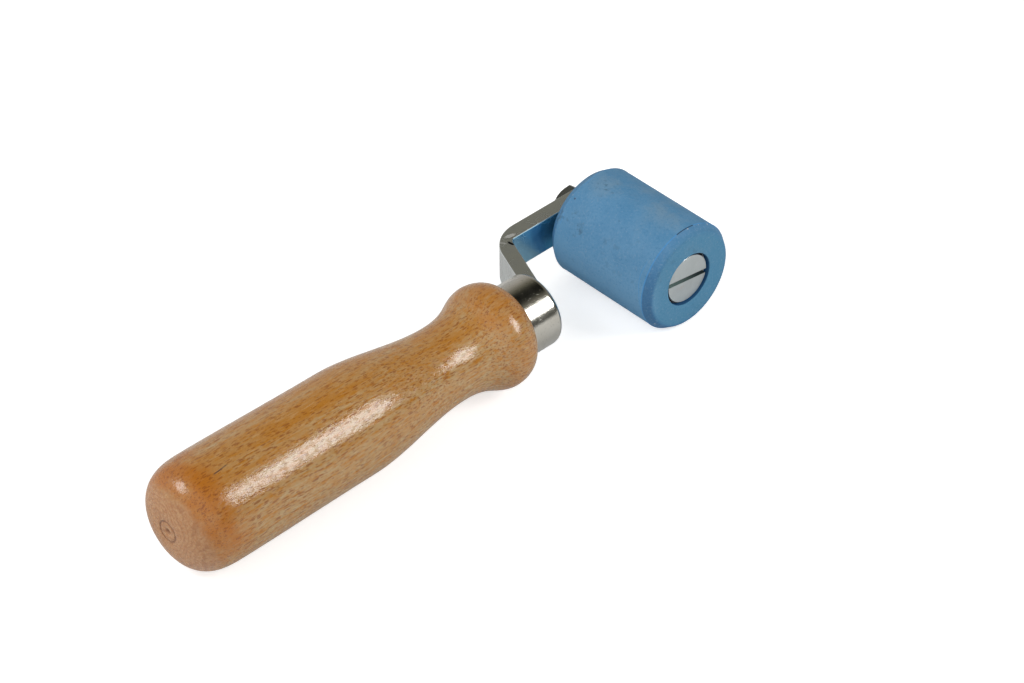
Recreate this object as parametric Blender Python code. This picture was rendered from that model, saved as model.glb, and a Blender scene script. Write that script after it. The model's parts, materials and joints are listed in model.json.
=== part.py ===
"""Hand brayer: a rubber-covered roller on two ball bearings, carried at one side by a cranked flat bar
whose tang is driven into a turned wooden handle with a plated ferrule.

Metres. +X runs along the axle to the screw's head, +Y along the handle towards the roller, +Z is up.
The object lies on a bench at Z = 0, and the origin is under the middle of its box.
"""
import math

import bmesh
import bpy
from mathutils import Vector

# ---------------------------------------------------------------- driving sizes
GAP = 0.0003                    # left between pieces that touch

ROLLER_WIDTH = 0.0400
ROLLER_RADIUS = 0.01665
ROLLER_EDGE_LENGTH = 0.0024     # the eased edge, along the tread
ROLLER_EDGE_DROP = 0.0018       # the eased edge, down the end face
ROLLER_EDGE_BULGE = 0.00025     # how far the eased edge swells outside a straight chamfer
LIP_THICKNESS = 0.0020          # rubber that covers each end of the core
CORE_WALL = 0.0020
CORE_SEAT_SHOULDER = 0.0013     # step that each bearing's outer ring stands against
ROLLER_OFFSET = 0.0007          # the roller's middle lies this far to the head's side of the handle's axis

BEARING_BORE_RADIUS = 0.0040
BEARING_OUTER_RADIUS = 0.0080
BEARING_WIDTH = 0.0050
BALL_RADIUS = 0.0010
BALL_COUNT = 9
BALL_CLEARANCE = 0.0003         # between a ball and each raceway
LAND_HALF_GAP = 0.0007          # half the space between the two rings, beside the balls
CAGE_WIDTH = 0.0031
CAGE_THICKNESS = 0.0007
POCKET_CLEARANCE = 0.0002       # between a ball and its pocket in the cage
SHIELD_THICKNESS = 0.0004
SHIELD_INSET = 0.0002           # shield's outer face below the rings' faces
SHIELD_STEP = 0.0006            # radial depth of the seat turned in the outer ring for a shield

HEAD_RADIUS = 0.0075
HEAD_THICKNESS = 0.0024
HEAD_CHAMFER = 0.0004
HEAD_RECESS = 0.00066           # head's face below the roller's end face
HEAD_CLEARANCE = 0.0008         # between the head and the rubber round it
SLOT_WIDTH = 0.0014
SLOT_DEPTH = 0.0012
SLOT_ANGLE = math.radians(-8.3)  # slot's turn about the axle, from +Y towards +Z
HEAD_WASHER_THICKNESS = 0.0006
COLLAR_WALL = 0.0014            # wall of the washer, the sleeve and the rear bush
THREAD_RADIUS = 0.0030
THREAD_END = 0.00125            # screw's end beyond the nut
NUT_ACROSS_FLATS = 0.0100
NUT_THICKNESS = 0.0024
NUT_CHAMFER = 0.0006
NUT_TURN = math.radians(18.0)   # a corner's turn about the axle, from +Y towards +Z

BAR_THICKNESS = 0.0048
BAR_WIDTH = 0.0114
BAR_EDGE = 0.0004
BAR_BEND_RADIUS = 0.0015        # on the inside of each bend
BAR_CRANK = math.radians(68.4)  # how far the cranked leg is turned off the handle's axis
REAR_GAP = 0.00245              # between the roller's rear face and the bar
TANG_LENGTH = 0.0440
TANG_TIP_WIDTH = 0.0070

AXLE_TO_FERRULE = 0.03963       # roller's axis to the ferrule's mouth
FERRULE_RADIUS = 0.01092
FERRULE_WALL = 0.0009
FERRULE_LENGTH = 0.01066
FERRULE_EDGE = 0.0009           # rounding of the ferrule's front edge
RIM_CLEARANCE = 0.0012          # between the bar's corner and the inside of the ferrule's mouth

HANDLE_LENGTH = 0.12047         # wood behind the ferrule
SHOULDER_RADIUS = 0.01085       # where the wood meets the ferrule
BULGE_AT = 0.0072
BULGE_RADIUS = 0.01556
FLANK_AT = 0.0130               # steepest place between the bulge and the neck
FLANK_RADIUS = 0.01370
FLANK_SLOPE = -0.50
NECK_AT = 0.0241
NECK_RADIUS = 0.01143
SWELL_AT = 0.0600
SWELL_RADIUS = 0.01563
GRIP_RADIUS = 0.01604           # widest, where the rounded butt begins
BUTT_LENGTH = 0.0150            # length of the rounded butt
BUTT_POWER = 3.0                # superellipse power of the butt's outline
BUTT_FLAT_RADIUS = 0.0055

ROLLER_SIDES = 72
BEARING_SIDES = 32
BALL_DETAIL = 1
SCREW_SIDES = 32
FERRULE_SIDES = 48
HANDLE_SIDES = 40
END_STEPS = 6                   # steps from the side of the bar's rounded end to its tip

# ---------------------------------------------------------------- places along the axle, worked out
half_width = ROLLER_WIDTH / 2
roller_flat_radius = ROLLER_RADIUS * math.cos(math.pi / ROLLER_SIDES)

head_face = half_width - HEAD_RECESS
head_underside = head_face - HEAD_THICKNESS
washer_face = head_underside - GAP
bearing_face = washer_face - HEAD_WASHER_THICKNESS - GAP
bearing_middle = bearing_face - BEARING_WIDTH / 2
bearing_back = bearing_face - BEARING_WIDTH
bar_inner_face = -half_width - REAR_GAP
bar_outer_face = bar_inner_face - BAR_THICKNESS
nut_face = bar_outer_face - GAP
nut_end = nut_face - NUT_THICKNESS
screw_end = nut_end - THREAD_END

# ---------------------------------------------------------------- radii about the axle, worked out
seat_radius = BEARING_OUTER_RADIUS + GAP
hub_hole_radius = max(HEAD_RADIUS + HEAD_CLEARANCE, seat_radius)
core_radius = hub_hole_radius + CORE_WALL
core_bore_radius = seat_radius - CORE_SEAT_SHOULDER
shoulder_pin_radius = BEARING_BORE_RADIUS - GAP
collar_radius = BEARING_BORE_RADIUS + COLLAR_WALL
pitch_radius = (BEARING_BORE_RADIUS + BEARING_OUTER_RADIUS) / 2
groove_radius = BALL_RADIUS + BALL_CLEARANCE

# ---------------------------------------------------------------- places along the handle, worked out
handle_x = -ROLLER_OFFSET
ferrule_mouth = -AXLE_TO_FERRULE
wood_shoulder = ferrule_mouth - FERRULE_LENGTH - GAP
butt_end = wood_shoulder - HANDLE_LENGTH
ferrule_bore_radius = FERRULE_RADIUS - FERRULE_WALL
spigot_radius = ferrule_bore_radius - GAP

# ---------------------------------------------------------------- the bar's centre line, worked out
bend_middle_radius = BAR_BEND_RADIUS + BAR_THICKNESS / 2
bend_reach = bend_middle_radius * math.tan(BAR_CRANK / 2)
leg_x = bar_inner_face - BAR_THICKNESS / 2
rim_corner = math.sqrt((ferrule_bore_radius - RIM_CLEARANCE) ** 2 - (BAR_WIDTH / 2) ** 2)
rim_slope = math.cos(BAR_CRANK) / math.sin(BAR_CRANK)
root_y = ferrule_mouth - rim_corner * rim_slope + BAR_THICKNESS / 2 / math.sin(BAR_CRANK)
elbow_y = root_y + (handle_x - leg_x) * rim_slope
tang_root_y = root_y - bend_reach
spigot_front = tang_root_y - 2 * GAP
tang_tip_y = spigot_front - TANG_LENGTH


# ---------------------------------------------------------------- shared makers
def make_material(name, colour, roughness, metallic):
    """A Principled material with one colour."""
    material = bpy.data.materials.new(name)
    material.use_nodes = True
    shader = material.node_tree.nodes["Principled BSDF"]
    shader.inputs["Base Color"].default_value = (*colour, 1.0)
    shader.inputs["Roughness"].default_value = roughness
    shader.inputs["Metallic"].default_value = metallic
    material.diffuse_color = (*colour, 1.0)
    return material


def make_empty(name, location, rotation=(0.0, 0.0, 0.0), parent=None):
    """An empty that carries the pieces placed about one axis."""
    empty = bpy.data.objects.new(name, None)
    empty.location = location
    empty.rotation_euler = rotation
    empty.parent = parent
    bpy.context.collection.objects.link(empty)
    return empty


def make_object(name, mesh, parent, material=None, location=(0.0, 0.0, 0.0), rotation=(0.0, 0.0, 0.0)):
    """An object on a mesh, placed under its parent."""
    piece = bpy.data.objects.new(name, mesh)
    piece.location = location
    piece.rotation_euler = rotation
    piece.parent = parent
    if material is not None:
        piece.data.materials.append(material)
    bpy.context.collection.objects.link(piece)
    return piece


def finish_mesh(name, shape, sharp_angle=math.radians(32)):
    """The bmesh as a mesh, shaded smooth up to the sharp angle."""
    bmesh.ops.remove_doubles(shape, verts=shape.verts, dist=1e-6)
    bmesh.ops.recalc_face_normals(shape, faces=shape.faces)
    mesh = bpy.data.meshes.new(name)
    shape.to_mesh(mesh)
    shape.free()
    mesh.shade_smooth()
    mesh.set_sharp_from_angle(angle=sharp_angle)
    return mesh


def turned_mesh(name, outline, sides, ring=False):
    """A solid turned about Z from (radius, height) points; a ring's outline closes on itself.

    The first side's middle lies at +X, so an even number of sides has a flat at +X and at -X.
    """
    shape = bmesh.new()
    start = -math.pi / sides
    points = []
    for radius, height in outline:
        place = Vector((radius * math.cos(start), radius * math.sin(start), height))
        if not points or (place - points[-1].co).length > 1e-6:
            points.append(shape.verts.new(place))
    edges = [shape.edges.new(pair) for pair in zip(points, points[1:])]
    if ring:
        edges.append(shape.edges.new((points[-1], points[0])))
    bmesh.ops.spin(shape, geom=points + edges, axis=(0, 0, 1), cent=(0, 0, 0), angle=math.tau,
                   steps=sides, use_merge=True)
    return finish_mesh(name, shape)


def tube_outline(inner, outer, low, high):
    """The four corners of a plain ring."""
    return [(inner, low), (outer, low), (outer, high), (inner, high)]


def box_mesh(name, size):
    """A box of the given size about its own middle."""
    shape = bmesh.new()
    bmesh.ops.create_cube(shape, size=1.0)
    bmesh.ops.scale(shape, vec=size, verts=shape.verts)
    return finish_mesh(name, shape)


def cut(piece, cutter, operation="DIFFERENCE"):
    """Cuts the piece with a hidden cutter that stays in the file as wires."""
    cutter.hide_render = True
    cutter.display_type = "WIRE"
    modifier = piece.modifiers.new(cutter.name, "BOOLEAN")
    modifier.operation = operation
    modifier.object = cutter


# ---------------------------------------------------------------- roller
def roller_edge(side, steps=4):
    """The eased edge at one end of the tread, from the end face to the tread, as (radius, height)."""
    face = Vector((ROLLER_RADIUS - ROLLER_EDGE_DROP, half_width))
    tread = Vector((ROLLER_RADIUS, half_width - ROLLER_EDGE_LENGTH))
    chord = tread - face
    outward = Vector((-chord.y, chord.x)).normalized()
    points = []
    for step in range(steps + 1):
        along = step / steps
        place = face + chord * along + outward * ROLLER_EDGE_BULGE * 4 * along * (1 - along)
        points.append((place.x, side * place.y))
    return points


def make_tyre(axis, material):
    """The rubber cover, whose lips close over both ends of the core."""
    bore = core_radius + GAP
    pocket = half_width - LIP_THICKNESS
    outline = [(hub_hole_radius, half_width)]
    outline += roller_edge(1)
    outline += reversed(roller_edge(-1))
    outline += [(hub_hole_radius, -half_width), (hub_hole_radius, -pocket), (bore, -pocket),
                (bore, pocket), (hub_hole_radius, pocket)]
    make_object("roller_tyre", turned_mesh("roller_tyre", outline, ROLLER_SIDES, ring=True), axis, material)


def make_core(axis, material):
    """The rigid tube inside the rubber, with a seat for a bearing at each end."""
    end = half_width - LIP_THICKNESS - GAP
    mouth_floor = washer_face
    seat_floor = bearing_back - GAP
    half = [(core_radius, end), (hub_hole_radius, end), (hub_hole_radius, mouth_floor),
            (seat_radius, mouth_floor), (seat_radius, seat_floor), (core_bore_radius, seat_floor)]
    outline = half + [(radius, -height) for radius, height in reversed(half)]
    mesh = turned_mesh("roller_core", outline, ROLLER_SIDES // 2, ring=True)
    make_object("roller_core", mesh, axis, material)


# ---------------------------------------------------------------- ball bearings
def groove_points(side, land, steps=4):
    """A raceway's groove in a ring, from its low edge to its high edge; side is 1 on the outer ring."""
    depth = abs(land - pitch_radius)
    half_angle = math.acos(depth / groove_radius)
    points = []
    for step in range(steps + 1):
        turn = half_angle * (2 * step / steps - 1)
        points.append((pitch_radius + side * groove_radius * math.cos(turn), groove_radius * math.sin(turn)))
    return points


def outer_ring_mesh():
    """The ring that turns with the roller, with a step at each side for a shield."""
    land = pitch_radius + LAND_HALF_GAP
    step_radius = land + SHIELD_STEP
    step_floor = BEARING_WIDTH / 2 - SHIELD_INSET - SHIELD_THICKNESS - GAP
    half = BEARING_WIDTH / 2
    outline = [(BEARING_OUTER_RADIUS, -half), (BEARING_OUTER_RADIUS, half), (step_radius, half),
               (step_radius, step_floor), (land, step_floor)]
    outline += reversed(groove_points(1, land))
    outline += [(land, -step_floor), (step_radius, -step_floor), (step_radius, -half)]
    return turned_mesh("bearing_outer_ring", outline, BEARING_SIDES, ring=True)


def inner_ring_mesh():
    """The ring that stands still on the screw's shoulder."""
    land = pitch_radius - LAND_HALF_GAP
    half = BEARING_WIDTH / 2
    outline = [(BEARING_BORE_RADIUS, half), (BEARING_BORE_RADIUS, -half), (land, -half)]
    outline += groove_points(-1, land)
    outline += [(land, half)]
    return turned_mesh("bearing_inner_ring", outline, BEARING_SIDES, ring=True)


def shield_mesh():
    """A thin washer that closes one side of a bearing."""
    inner = pitch_radius - LAND_HALF_GAP + GAP
    outer = pitch_radius + LAND_HALF_GAP + SHIELD_STEP - GAP
    outline = tube_outline(inner, outer, -SHIELD_THICKNESS / 2, SHIELD_THICKNESS / 2)
    return turned_mesh("bearing_shield", outline, BEARING_SIDES, ring=True)


def ball_mesh():
    """One ball."""
    shape = bmesh.new()
    bmesh.ops.create_icosphere(shape, subdivisions=BALL_DETAIL, radius=BALL_RADIUS)
    return finish_mesh("bearing_ball", shape, math.pi)


def ball_places():
    """Where the balls sit round the pitch circle."""
    return [math.tau * index / BALL_COUNT for index in range(BALL_COUNT)]


def make_cage(name, axis, material):
    """The ring that keeps the balls apart, with a round pocket for each."""
    inner = pitch_radius - CAGE_THICKNESS / 2
    outer = pitch_radius + CAGE_THICKNESS / 2
    outline = tube_outline(inner, outer, -CAGE_WIDTH / 2, CAGE_WIDTH / 2)
    cage = make_object(name, turned_mesh(name, outline, BALL_COUNT * 4, ring=True), axis, material)
    drills = bmesh.new()
    pocket = BALL_RADIUS + POCKET_CLEARANCE
    for turn in ball_places():
        drill = bmesh.ops.create_cone(drills, cap_ends=True, segments=10, radius1=pocket, radius2=pocket,
                                      depth=2 * LAND_HALF_GAP)
        bmesh.ops.rotate(drills, verts=drill["verts"], matrix=rotation_to_radius(turn))
        middle = Vector((math.cos(turn), math.sin(turn), 0.0)) * pitch_radius
        bmesh.ops.translate(drills, verts=drill["verts"], vec=middle)
    cut(cage, make_object(name + "_pockets", finish_mesh(name + "_pockets", drills), axis))


def rotation_to_radius(turn):
    """The rotation that lays a Z-long piece along the radius at a turn about Z."""
    return Vector((math.cos(turn), math.sin(turn), 0.0)).to_track_quat("Z", "Y").to_matrix()


def make_bearing(prefix, side, meshes, axes, steel, cage_steel):
    """One shielded ball bearing, whose outboard shield faces the given end of the axle."""
    middle = side * bearing_middle
    make_object(prefix + "_outer_ring", meshes["outer"].copy(), axes["roller"], steel, (0, 0, middle))
    make_object(prefix + "_inner_ring", meshes["inner"].copy(), axes["fixed"], steel, (0, 0, middle))
    shield_place = BEARING_WIDTH / 2 - SHIELD_INSET - SHIELD_THICKNESS / 2
    for word, direction in (("outboard", side), ("inboard", -side)):
        height = middle + direction * shield_place
        name = prefix + "_" + word + "_shield"
        make_object(name, meshes["shield"].copy(), axes["roller"], steel, (0, 0, height))
    cage_axis = make_empty(prefix + "_cage_axis", (0, 0, middle), parent=axes["fixed"])
    make_cage(prefix + "_cage", cage_axis, cage_steel)
    for index, turn in enumerate(ball_places()):
        place = Vector((math.cos(turn), math.sin(turn), 0.0)) * pitch_radius
        make_object(prefix + "_ball_" + str(index + 1), meshes["ball"].copy(), cage_axis, steel, place)


# ---------------------------------------------------------------- axle
def make_screw(axis, material):
    """The slotted screw: head, plain shoulder through the bearings, thread through the bar and the nut."""
    shoulder_end = bar_inner_face + GAP
    outline = [(0.0, head_face), (HEAD_RADIUS - HEAD_CHAMFER, head_face),
               (HEAD_RADIUS, head_face - HEAD_CHAMFER), (HEAD_RADIUS, head_underside),
               (shoulder_pin_radius, head_underside), (shoulder_pin_radius, shoulder_end),
               (THREAD_RADIUS, shoulder_end), (THREAD_RADIUS, screw_end + HEAD_CHAMFER),
               (THREAD_RADIUS - HEAD_CHAMFER, screw_end), (0.0, screw_end)]
    screw = make_object("axle_screw", turned_mesh("axle_screw", outline, SCREW_SIDES), axis, material)
    slot = box_mesh("axle_screw_slot", (SLOT_WIDTH, 3 * HEAD_RADIUS, 2 * SLOT_DEPTH))
    cut(screw, make_object("axle_screw_slot", slot, axis, location=(0, 0, head_face),
                           rotation=(0, 0, SLOT_ANGLE)))


def make_collar(name, axis, material, low, high):
    """A plain ring on the screw's shoulder that touches only the bearings' inner rings."""
    outline = tube_outline(BEARING_BORE_RADIUS, collar_radius, low, high)
    make_object(name, turned_mesh(name, outline, BEARING_SIDES, ring=True), axis, material)


def make_nut(axis, material):
    """The thin hexagon nut, with its corners turned off at both faces."""
    corner = NUT_ACROSS_FLATS / 2 / math.cos(math.pi / 6)
    middle = (nut_face + nut_end) / 2
    shape = bmesh.new()
    bmesh.ops.create_cone(shape, cap_ends=True, segments=6, radius1=corner, radius2=corner,
                          depth=NUT_THICKNESS)
    nut = make_object("axle_nut", finish_mesh("axle_nut", shape), axis, material, (0, 0, middle),
                      (0, 0, NUT_TURN))
    half = NUT_THICKNESS / 2
    slope_radius = NUT_ACROSS_FLATS / 2 - NUT_CHAMFER / 4
    widest = corner + NUT_CHAMFER
    barrel = [(0.0, -half - GAP), (slope_radius - GAP, -half - GAP), (widest, -half + NUT_CHAMFER),
              (widest, half - NUT_CHAMFER), (slope_radius - GAP, half + GAP), (0.0, half + GAP)]
    blank = make_object("axle_nut_barrel", turned_mesh("axle_nut_barrel", barrel, SCREW_SIDES), axis,
                        location=(0, 0, middle))
    cut(nut, blank, "INTERSECT")
    hole = THREAD_RADIUS + GAP
    drill = [(0.0, -NUT_THICKNESS), (hole, -NUT_THICKNESS), (hole, NUT_THICKNESS), (0.0, NUT_THICKNESS)]
    cut(nut, make_object("axle_nut_drill", turned_mesh("axle_nut_drill", drill, SCREW_SIDES), axis,
                         location=(0, 0, middle)))


# ---------------------------------------------------------------- bracket
def bar_section(place, heading, half_thickness, half_width_here):
    """Eight points round the bar with eased edges; heading 0 runs along +Y and turns towards -X."""
    across = Vector((math.cos(heading), math.sin(heading), 0.0))
    up = Vector((0.0, 0.0, 1.0))
    flat = half_thickness - BAR_EDGE
    side = half_width_here - BAR_EDGE
    corners = ((half_thickness, -side), (half_thickness, side), (flat, half_width_here),
               (-flat, half_width_here), (-half_thickness, side), (-half_thickness, -side),
               (-flat, -half_width_here), (flat, -half_width_here))
    return [place + across * out + up * high for out, high in corners]


def bar_mesh(name, stations, half_thickness):
    """The bar swept through (place, heading, half width) stations, with flat ends."""
    shape = bmesh.new()
    rings = []
    for place, heading, half_width_here in stations:
        points = bar_section(place, heading, half_thickness, half_width_here)
        rings.append([shape.verts.new(point) for point in points])
    for first, second in zip(rings, rings[1:]):
        for index in range(len(first)):
            after = (index + 1) % len(first)
            shape.faces.new((first[index], first[after], second[after], second[index]))
    shape.faces.new(rings[0])
    shape.faces.new(rings[-1])
    return finish_mesh(name, shape)


def bend_stations(centre, start, end, radius, steps=6):
    """Stations round one bend; the bar's middle lies at the given radius from the bend's centre."""
    turning = 1 if end > start else -1
    stations = []
    for step in range(steps + 1):
        heading = start + (end - start) * step / steps
        outward = Vector((math.cos(heading), math.sin(heading), 0.0)) * turning
        stations.append((centre + outward * radius, heading, BAR_WIDTH / 2))
    return stations


def bracket_stations():
    """The bar from the tang's tip, round the two bends, to the rounded end about the axle."""
    root_centre = Vector((handle_x - bend_middle_radius, tang_root_y, 0.0))
    elbow_centre = Vector((leg_x + bend_middle_radius, elbow_y + bend_reach, 0.0))
    stations = [(Vector((handle_x, tang_tip_y, 0.0)), 0.0, TANG_TIP_WIDTH / 2),
                (Vector((handle_x, spigot_front, 0.0)), 0.0, BAR_WIDTH / 2)]
    stations += bend_stations(root_centre, 0.0, BAR_CRANK, bend_middle_radius)
    stations += bend_stations(elbow_centre, BAR_CRANK, 0.0, bend_middle_radius)
    for step in range(END_STEPS):
        turn = math.pi / 2 * step / END_STEPS
        place = Vector((leg_x, math.sin(turn) * BAR_WIDTH / 2, 0.0))
        stations.append((place, 0.0, math.cos(turn) * BAR_WIDTH / 2))
    return stations


def make_bracket(frame, material):
    """The cranked flat bar with its tang and the hole for the screw."""
    mesh = bar_mesh("bracket", bracket_stations(), BAR_THICKNESS / 2)
    bracket = make_object("bracket", mesh, frame, material)
    hole = THREAD_RADIUS + GAP
    outline = [(0.0, -BAR_THICKNESS), (hole, -BAR_THICKNESS), (hole, BAR_THICKNESS), (0.0, BAR_THICKNESS)]
    cut(bracket, make_object("bracket_hole", turned_mesh("bracket_hole", outline, SCREW_SIDES), frame,
                             location=(leg_x, 0, 0), rotation=(0, math.pi / 2, 0)))


# ---------------------------------------------------------------- handle
def smooth_run(first, last, steps):
    """A cubic run between two (distance, radius, slope) stations, without the first point."""
    start, start_radius, start_slope = first
    end, end_radius, end_slope = last
    length = end - start
    points = []
    for step in range(1, steps + 1):
        along = step / steps
        radius = (start_radius * (1 - 3 * along ** 2 + 2 * along ** 3)
                  + start_slope * length * (along - 2 * along ** 2 + along ** 3)
                  + end_radius * (3 * along ** 2 - 2 * along ** 3)
                  + end_slope * length * (along ** 3 - along ** 2))
        points.append((radius, start + length * along))
    return points


def handle_outline():
    """The wood's outline behind the ferrule, as (radius, distance back from its shoulder)."""
    outline = []
    for step in range(5):
        turn = math.pi / 2 * step / 4
        outline.append((SHOULDER_RADIUS + (BULGE_RADIUS - SHOULDER_RADIUS) * math.sin(turn),
                        BULGE_AT * (1 - math.cos(turn))))
    butt_start = HANDLE_LENGTH - BUTT_LENGTH
    stations = [(BULGE_AT, BULGE_RADIUS, 0.0), (FLANK_AT, FLANK_RADIUS, FLANK_SLOPE),
                (NECK_AT, NECK_RADIUS, 0.0), (SWELL_AT, SWELL_RADIUS, 0.0), (butt_start, GRIP_RADIUS, 0.0)]
    for first, last, steps in zip(stations, stations[1:], (3, 4, 6, 2)):
        outline += smooth_run(first, last, steps)
    last_turn = math.acos((BUTT_FLAT_RADIUS / GRIP_RADIUS) ** (BUTT_POWER / 2))
    power = 2 / BUTT_POWER
    for step in range(1, 8):
        turn = last_turn * step / 7
        outline.append((GRIP_RADIUS * math.cos(turn) ** power,
                        butt_start + BUTT_LENGTH * (math.sin(turn) / math.sin(last_turn)) ** power))
    return outline


def make_handle(axis, frame, material):
    """The turned wooden handle: spigot for the ferrule, bulge, neck, long grip and rounded butt."""
    outline = [(0.0, spigot_front - wood_shoulder), (spigot_radius, spigot_front - wood_shoulder),
               (spigot_radius, 0.0)]
    outline += [(radius, -distance) for radius, distance in handle_outline()]
    outline.append((0.0, outline[-1][1]))
    handle = make_object("handle", turned_mesh("handle", outline, HANDLE_SIDES), axis, material,
                         (0, 0, wood_shoulder))
    stations = [(Vector((handle_x, tang_tip_y - GAP, 0.0)), 0.0, TANG_TIP_WIDTH / 2 + GAP),
                (Vector((handle_x, spigot_front, 0.0)), 0.0, BAR_WIDTH / 2 + GAP),
                (Vector((handle_x, spigot_front + BAR_WIDTH, 0.0)), 0.0, BAR_WIDTH / 2 + GAP)]
    slot = bar_mesh("handle_slot", stations, BAR_THICKNESS / 2 + GAP)
    cut(handle, make_object("handle_slot", slot, frame))


def make_ferrule(axis, material):
    """The plated tube round the wood's spigot, with a rounded front edge."""
    back = ferrule_mouth - FERRULE_LENGTH
    outline = [(ferrule_bore_radius, back), (FERRULE_RADIUS, back)]
    for step in range(5):
        turn = math.pi / 2 * step / 4
        outline.append((FERRULE_RADIUS - FERRULE_EDGE * (1 - math.cos(turn)),
                        ferrule_mouth - FERRULE_EDGE * (1 - math.sin(turn))))
    outline.append((ferrule_bore_radius, ferrule_mouth))
    make_object("ferrule", turned_mesh("ferrule", outline, FERRULE_SIDES, ring=True), axis, material)


# ---------------------------------------------------------------- assembly
def clear_scene():
    """Removes whatever the scene holds."""
    for item in list(bpy.data.objects):
        bpy.data.objects.remove(item, do_unlink=True)


def frame_location():
    """Where the roller's middle lies, with the box's middle over the origin and the bench at Z = 0."""
    half_height = max(roller_flat_radius, GRIP_RADIUS, BULGE_RADIUS)
    middle_x = (half_width + screw_end) / 2
    middle_y = (roller_flat_radius + butt_end) / 2
    return (-middle_x, -middle_y, half_height)


def main():
    """Builds the whole brayer."""
    clear_scene()
    rubber = make_material("blue_rubber", (0.09, 0.23, 0.41), 0.75, 0.0)
    wood = make_material("lacquered_beech", (0.50, 0.25, 0.09), 0.30, 0.0)
    nickel = make_material("nickel_plate", (0.60, 0.58, 0.53), 0.22, 1.0)
    zinc = make_material("zinc_plate", (0.36, 0.36, 0.34), 0.38, 1.0)
    screw_steel = make_material("bright_steel", (0.45, 0.48, 0.50), 0.35, 1.0)
    dark_steel = make_material("blackened_steel", (0.03, 0.03, 0.035), 0.40, 1.0)
    core_steel = make_material("core_tube", (0.50, 0.50, 0.52), 0.45, 1.0)
    bearing_steel = make_material("bearing_steel", (0.55, 0.55, 0.56), 0.15, 1.0)
    cage_steel = make_material("pressed_cage", (0.40, 0.38, 0.34), 0.35, 1.0)

    frame = make_empty("brayer_frame", frame_location())
    axle_axis = make_empty("axle_axis", (0, 0, 0), (0, math.pi / 2, 0), frame)
    roller_axis = make_empty("roller_axis", (0, 0, 0), (0, math.pi / 2, 0), frame)
    handle_axis = make_empty("handle_axis", (handle_x, 0, 0), (-math.pi / 2, 0, 0), frame)

    make_tyre(roller_axis, rubber)
    make_core(roller_axis, core_steel)
    axes = {"roller": roller_axis, "fixed": axle_axis}
    meshes = {"outer": outer_ring_mesh(), "inner": inner_ring_mesh(), "shield": shield_mesh(),
              "ball": ball_mesh()}
    make_bearing("front_bearing", 1, meshes, axes, bearing_steel, cage_steel)
    make_bearing("rear_bearing", -1, meshes, axes, bearing_steel, cage_steel)

    make_screw(axle_axis, screw_steel)
    make_collar("head_washer", axle_axis, screw_steel, washer_face - HEAD_WASHER_THICKNESS, washer_face)
    make_collar("bearing_sleeve", axle_axis, screw_steel, GAP - bearing_back, bearing_back - GAP)
    make_collar("rear_bush", axle_axis, screw_steel, bar_inner_face + GAP, -bearing_face - GAP)
    make_nut(axle_axis, dark_steel)

    make_bracket(frame, zinc)
    make_ferrule(handle_axis, nickel)
    make_handle(handle_axis, frame, wood)


if __name__ == "__main__":
    main()
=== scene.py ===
"""Looks of a hand brayer: a blue rubber roller on a cranked, zinc-plated bar in a lacquered beech handle.

Metres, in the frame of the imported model: +X runs along the axle to the screw's head, +Y along the handle
towards the roller, +Z up from the bench.
"""
import json
import math

import bmesh
import bpy
from bpy.props import FloatProperty, FloatVectorProperty, IntProperty, PointerProperty
from mathutils import Matrix, Vector


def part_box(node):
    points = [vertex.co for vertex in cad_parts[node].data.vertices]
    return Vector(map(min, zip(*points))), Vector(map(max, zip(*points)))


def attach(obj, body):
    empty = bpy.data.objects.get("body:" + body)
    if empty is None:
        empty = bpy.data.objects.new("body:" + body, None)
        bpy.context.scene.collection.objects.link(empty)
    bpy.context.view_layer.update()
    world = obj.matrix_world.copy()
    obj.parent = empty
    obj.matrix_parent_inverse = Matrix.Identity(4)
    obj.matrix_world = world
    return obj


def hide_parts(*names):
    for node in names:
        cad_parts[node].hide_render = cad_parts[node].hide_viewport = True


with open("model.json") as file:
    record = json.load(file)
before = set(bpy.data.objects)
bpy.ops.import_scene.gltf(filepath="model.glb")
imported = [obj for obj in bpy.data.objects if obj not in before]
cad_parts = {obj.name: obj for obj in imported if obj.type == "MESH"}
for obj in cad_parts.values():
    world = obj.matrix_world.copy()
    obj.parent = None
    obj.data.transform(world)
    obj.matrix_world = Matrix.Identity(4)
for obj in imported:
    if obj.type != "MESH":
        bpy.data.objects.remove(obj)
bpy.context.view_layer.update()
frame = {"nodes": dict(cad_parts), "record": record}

bl_info = {
    "name": "Hand Brayer Looks",
    "version": (1, 0, 0),
    "blender": (4, 5, 0),
    "location": "3D View > Sidebar > Brayer",
    "description": "Builds the fine pieces, finishes and stage of a hand brayer round its packed model",
    "category": "Object",
}

MM = 0.001
GAP = 0.0003                    # left between pieces that touch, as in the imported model
BALLS_PER_BEARING = 9
LATHE_STEPS = 96                # sides of the small turned pieces
JOIN_DISTANCE = 1e-7            # corners closer than this are one
QUARTER_STEPS = 16              # pieces of a quarter turn in an outline


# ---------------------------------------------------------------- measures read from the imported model
def radial_range(node):
    """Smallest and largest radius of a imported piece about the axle, at its corners."""
    radii = [math.hypot(v.co.y - axle.y, v.co.z - axle.z) for v in frame["nodes"][node].data.vertices]
    return min(radii), max(radii)


def span(node, axis):
    """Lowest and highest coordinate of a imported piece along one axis."""
    low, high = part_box(node)
    return low[axis], high[axis]


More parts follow.
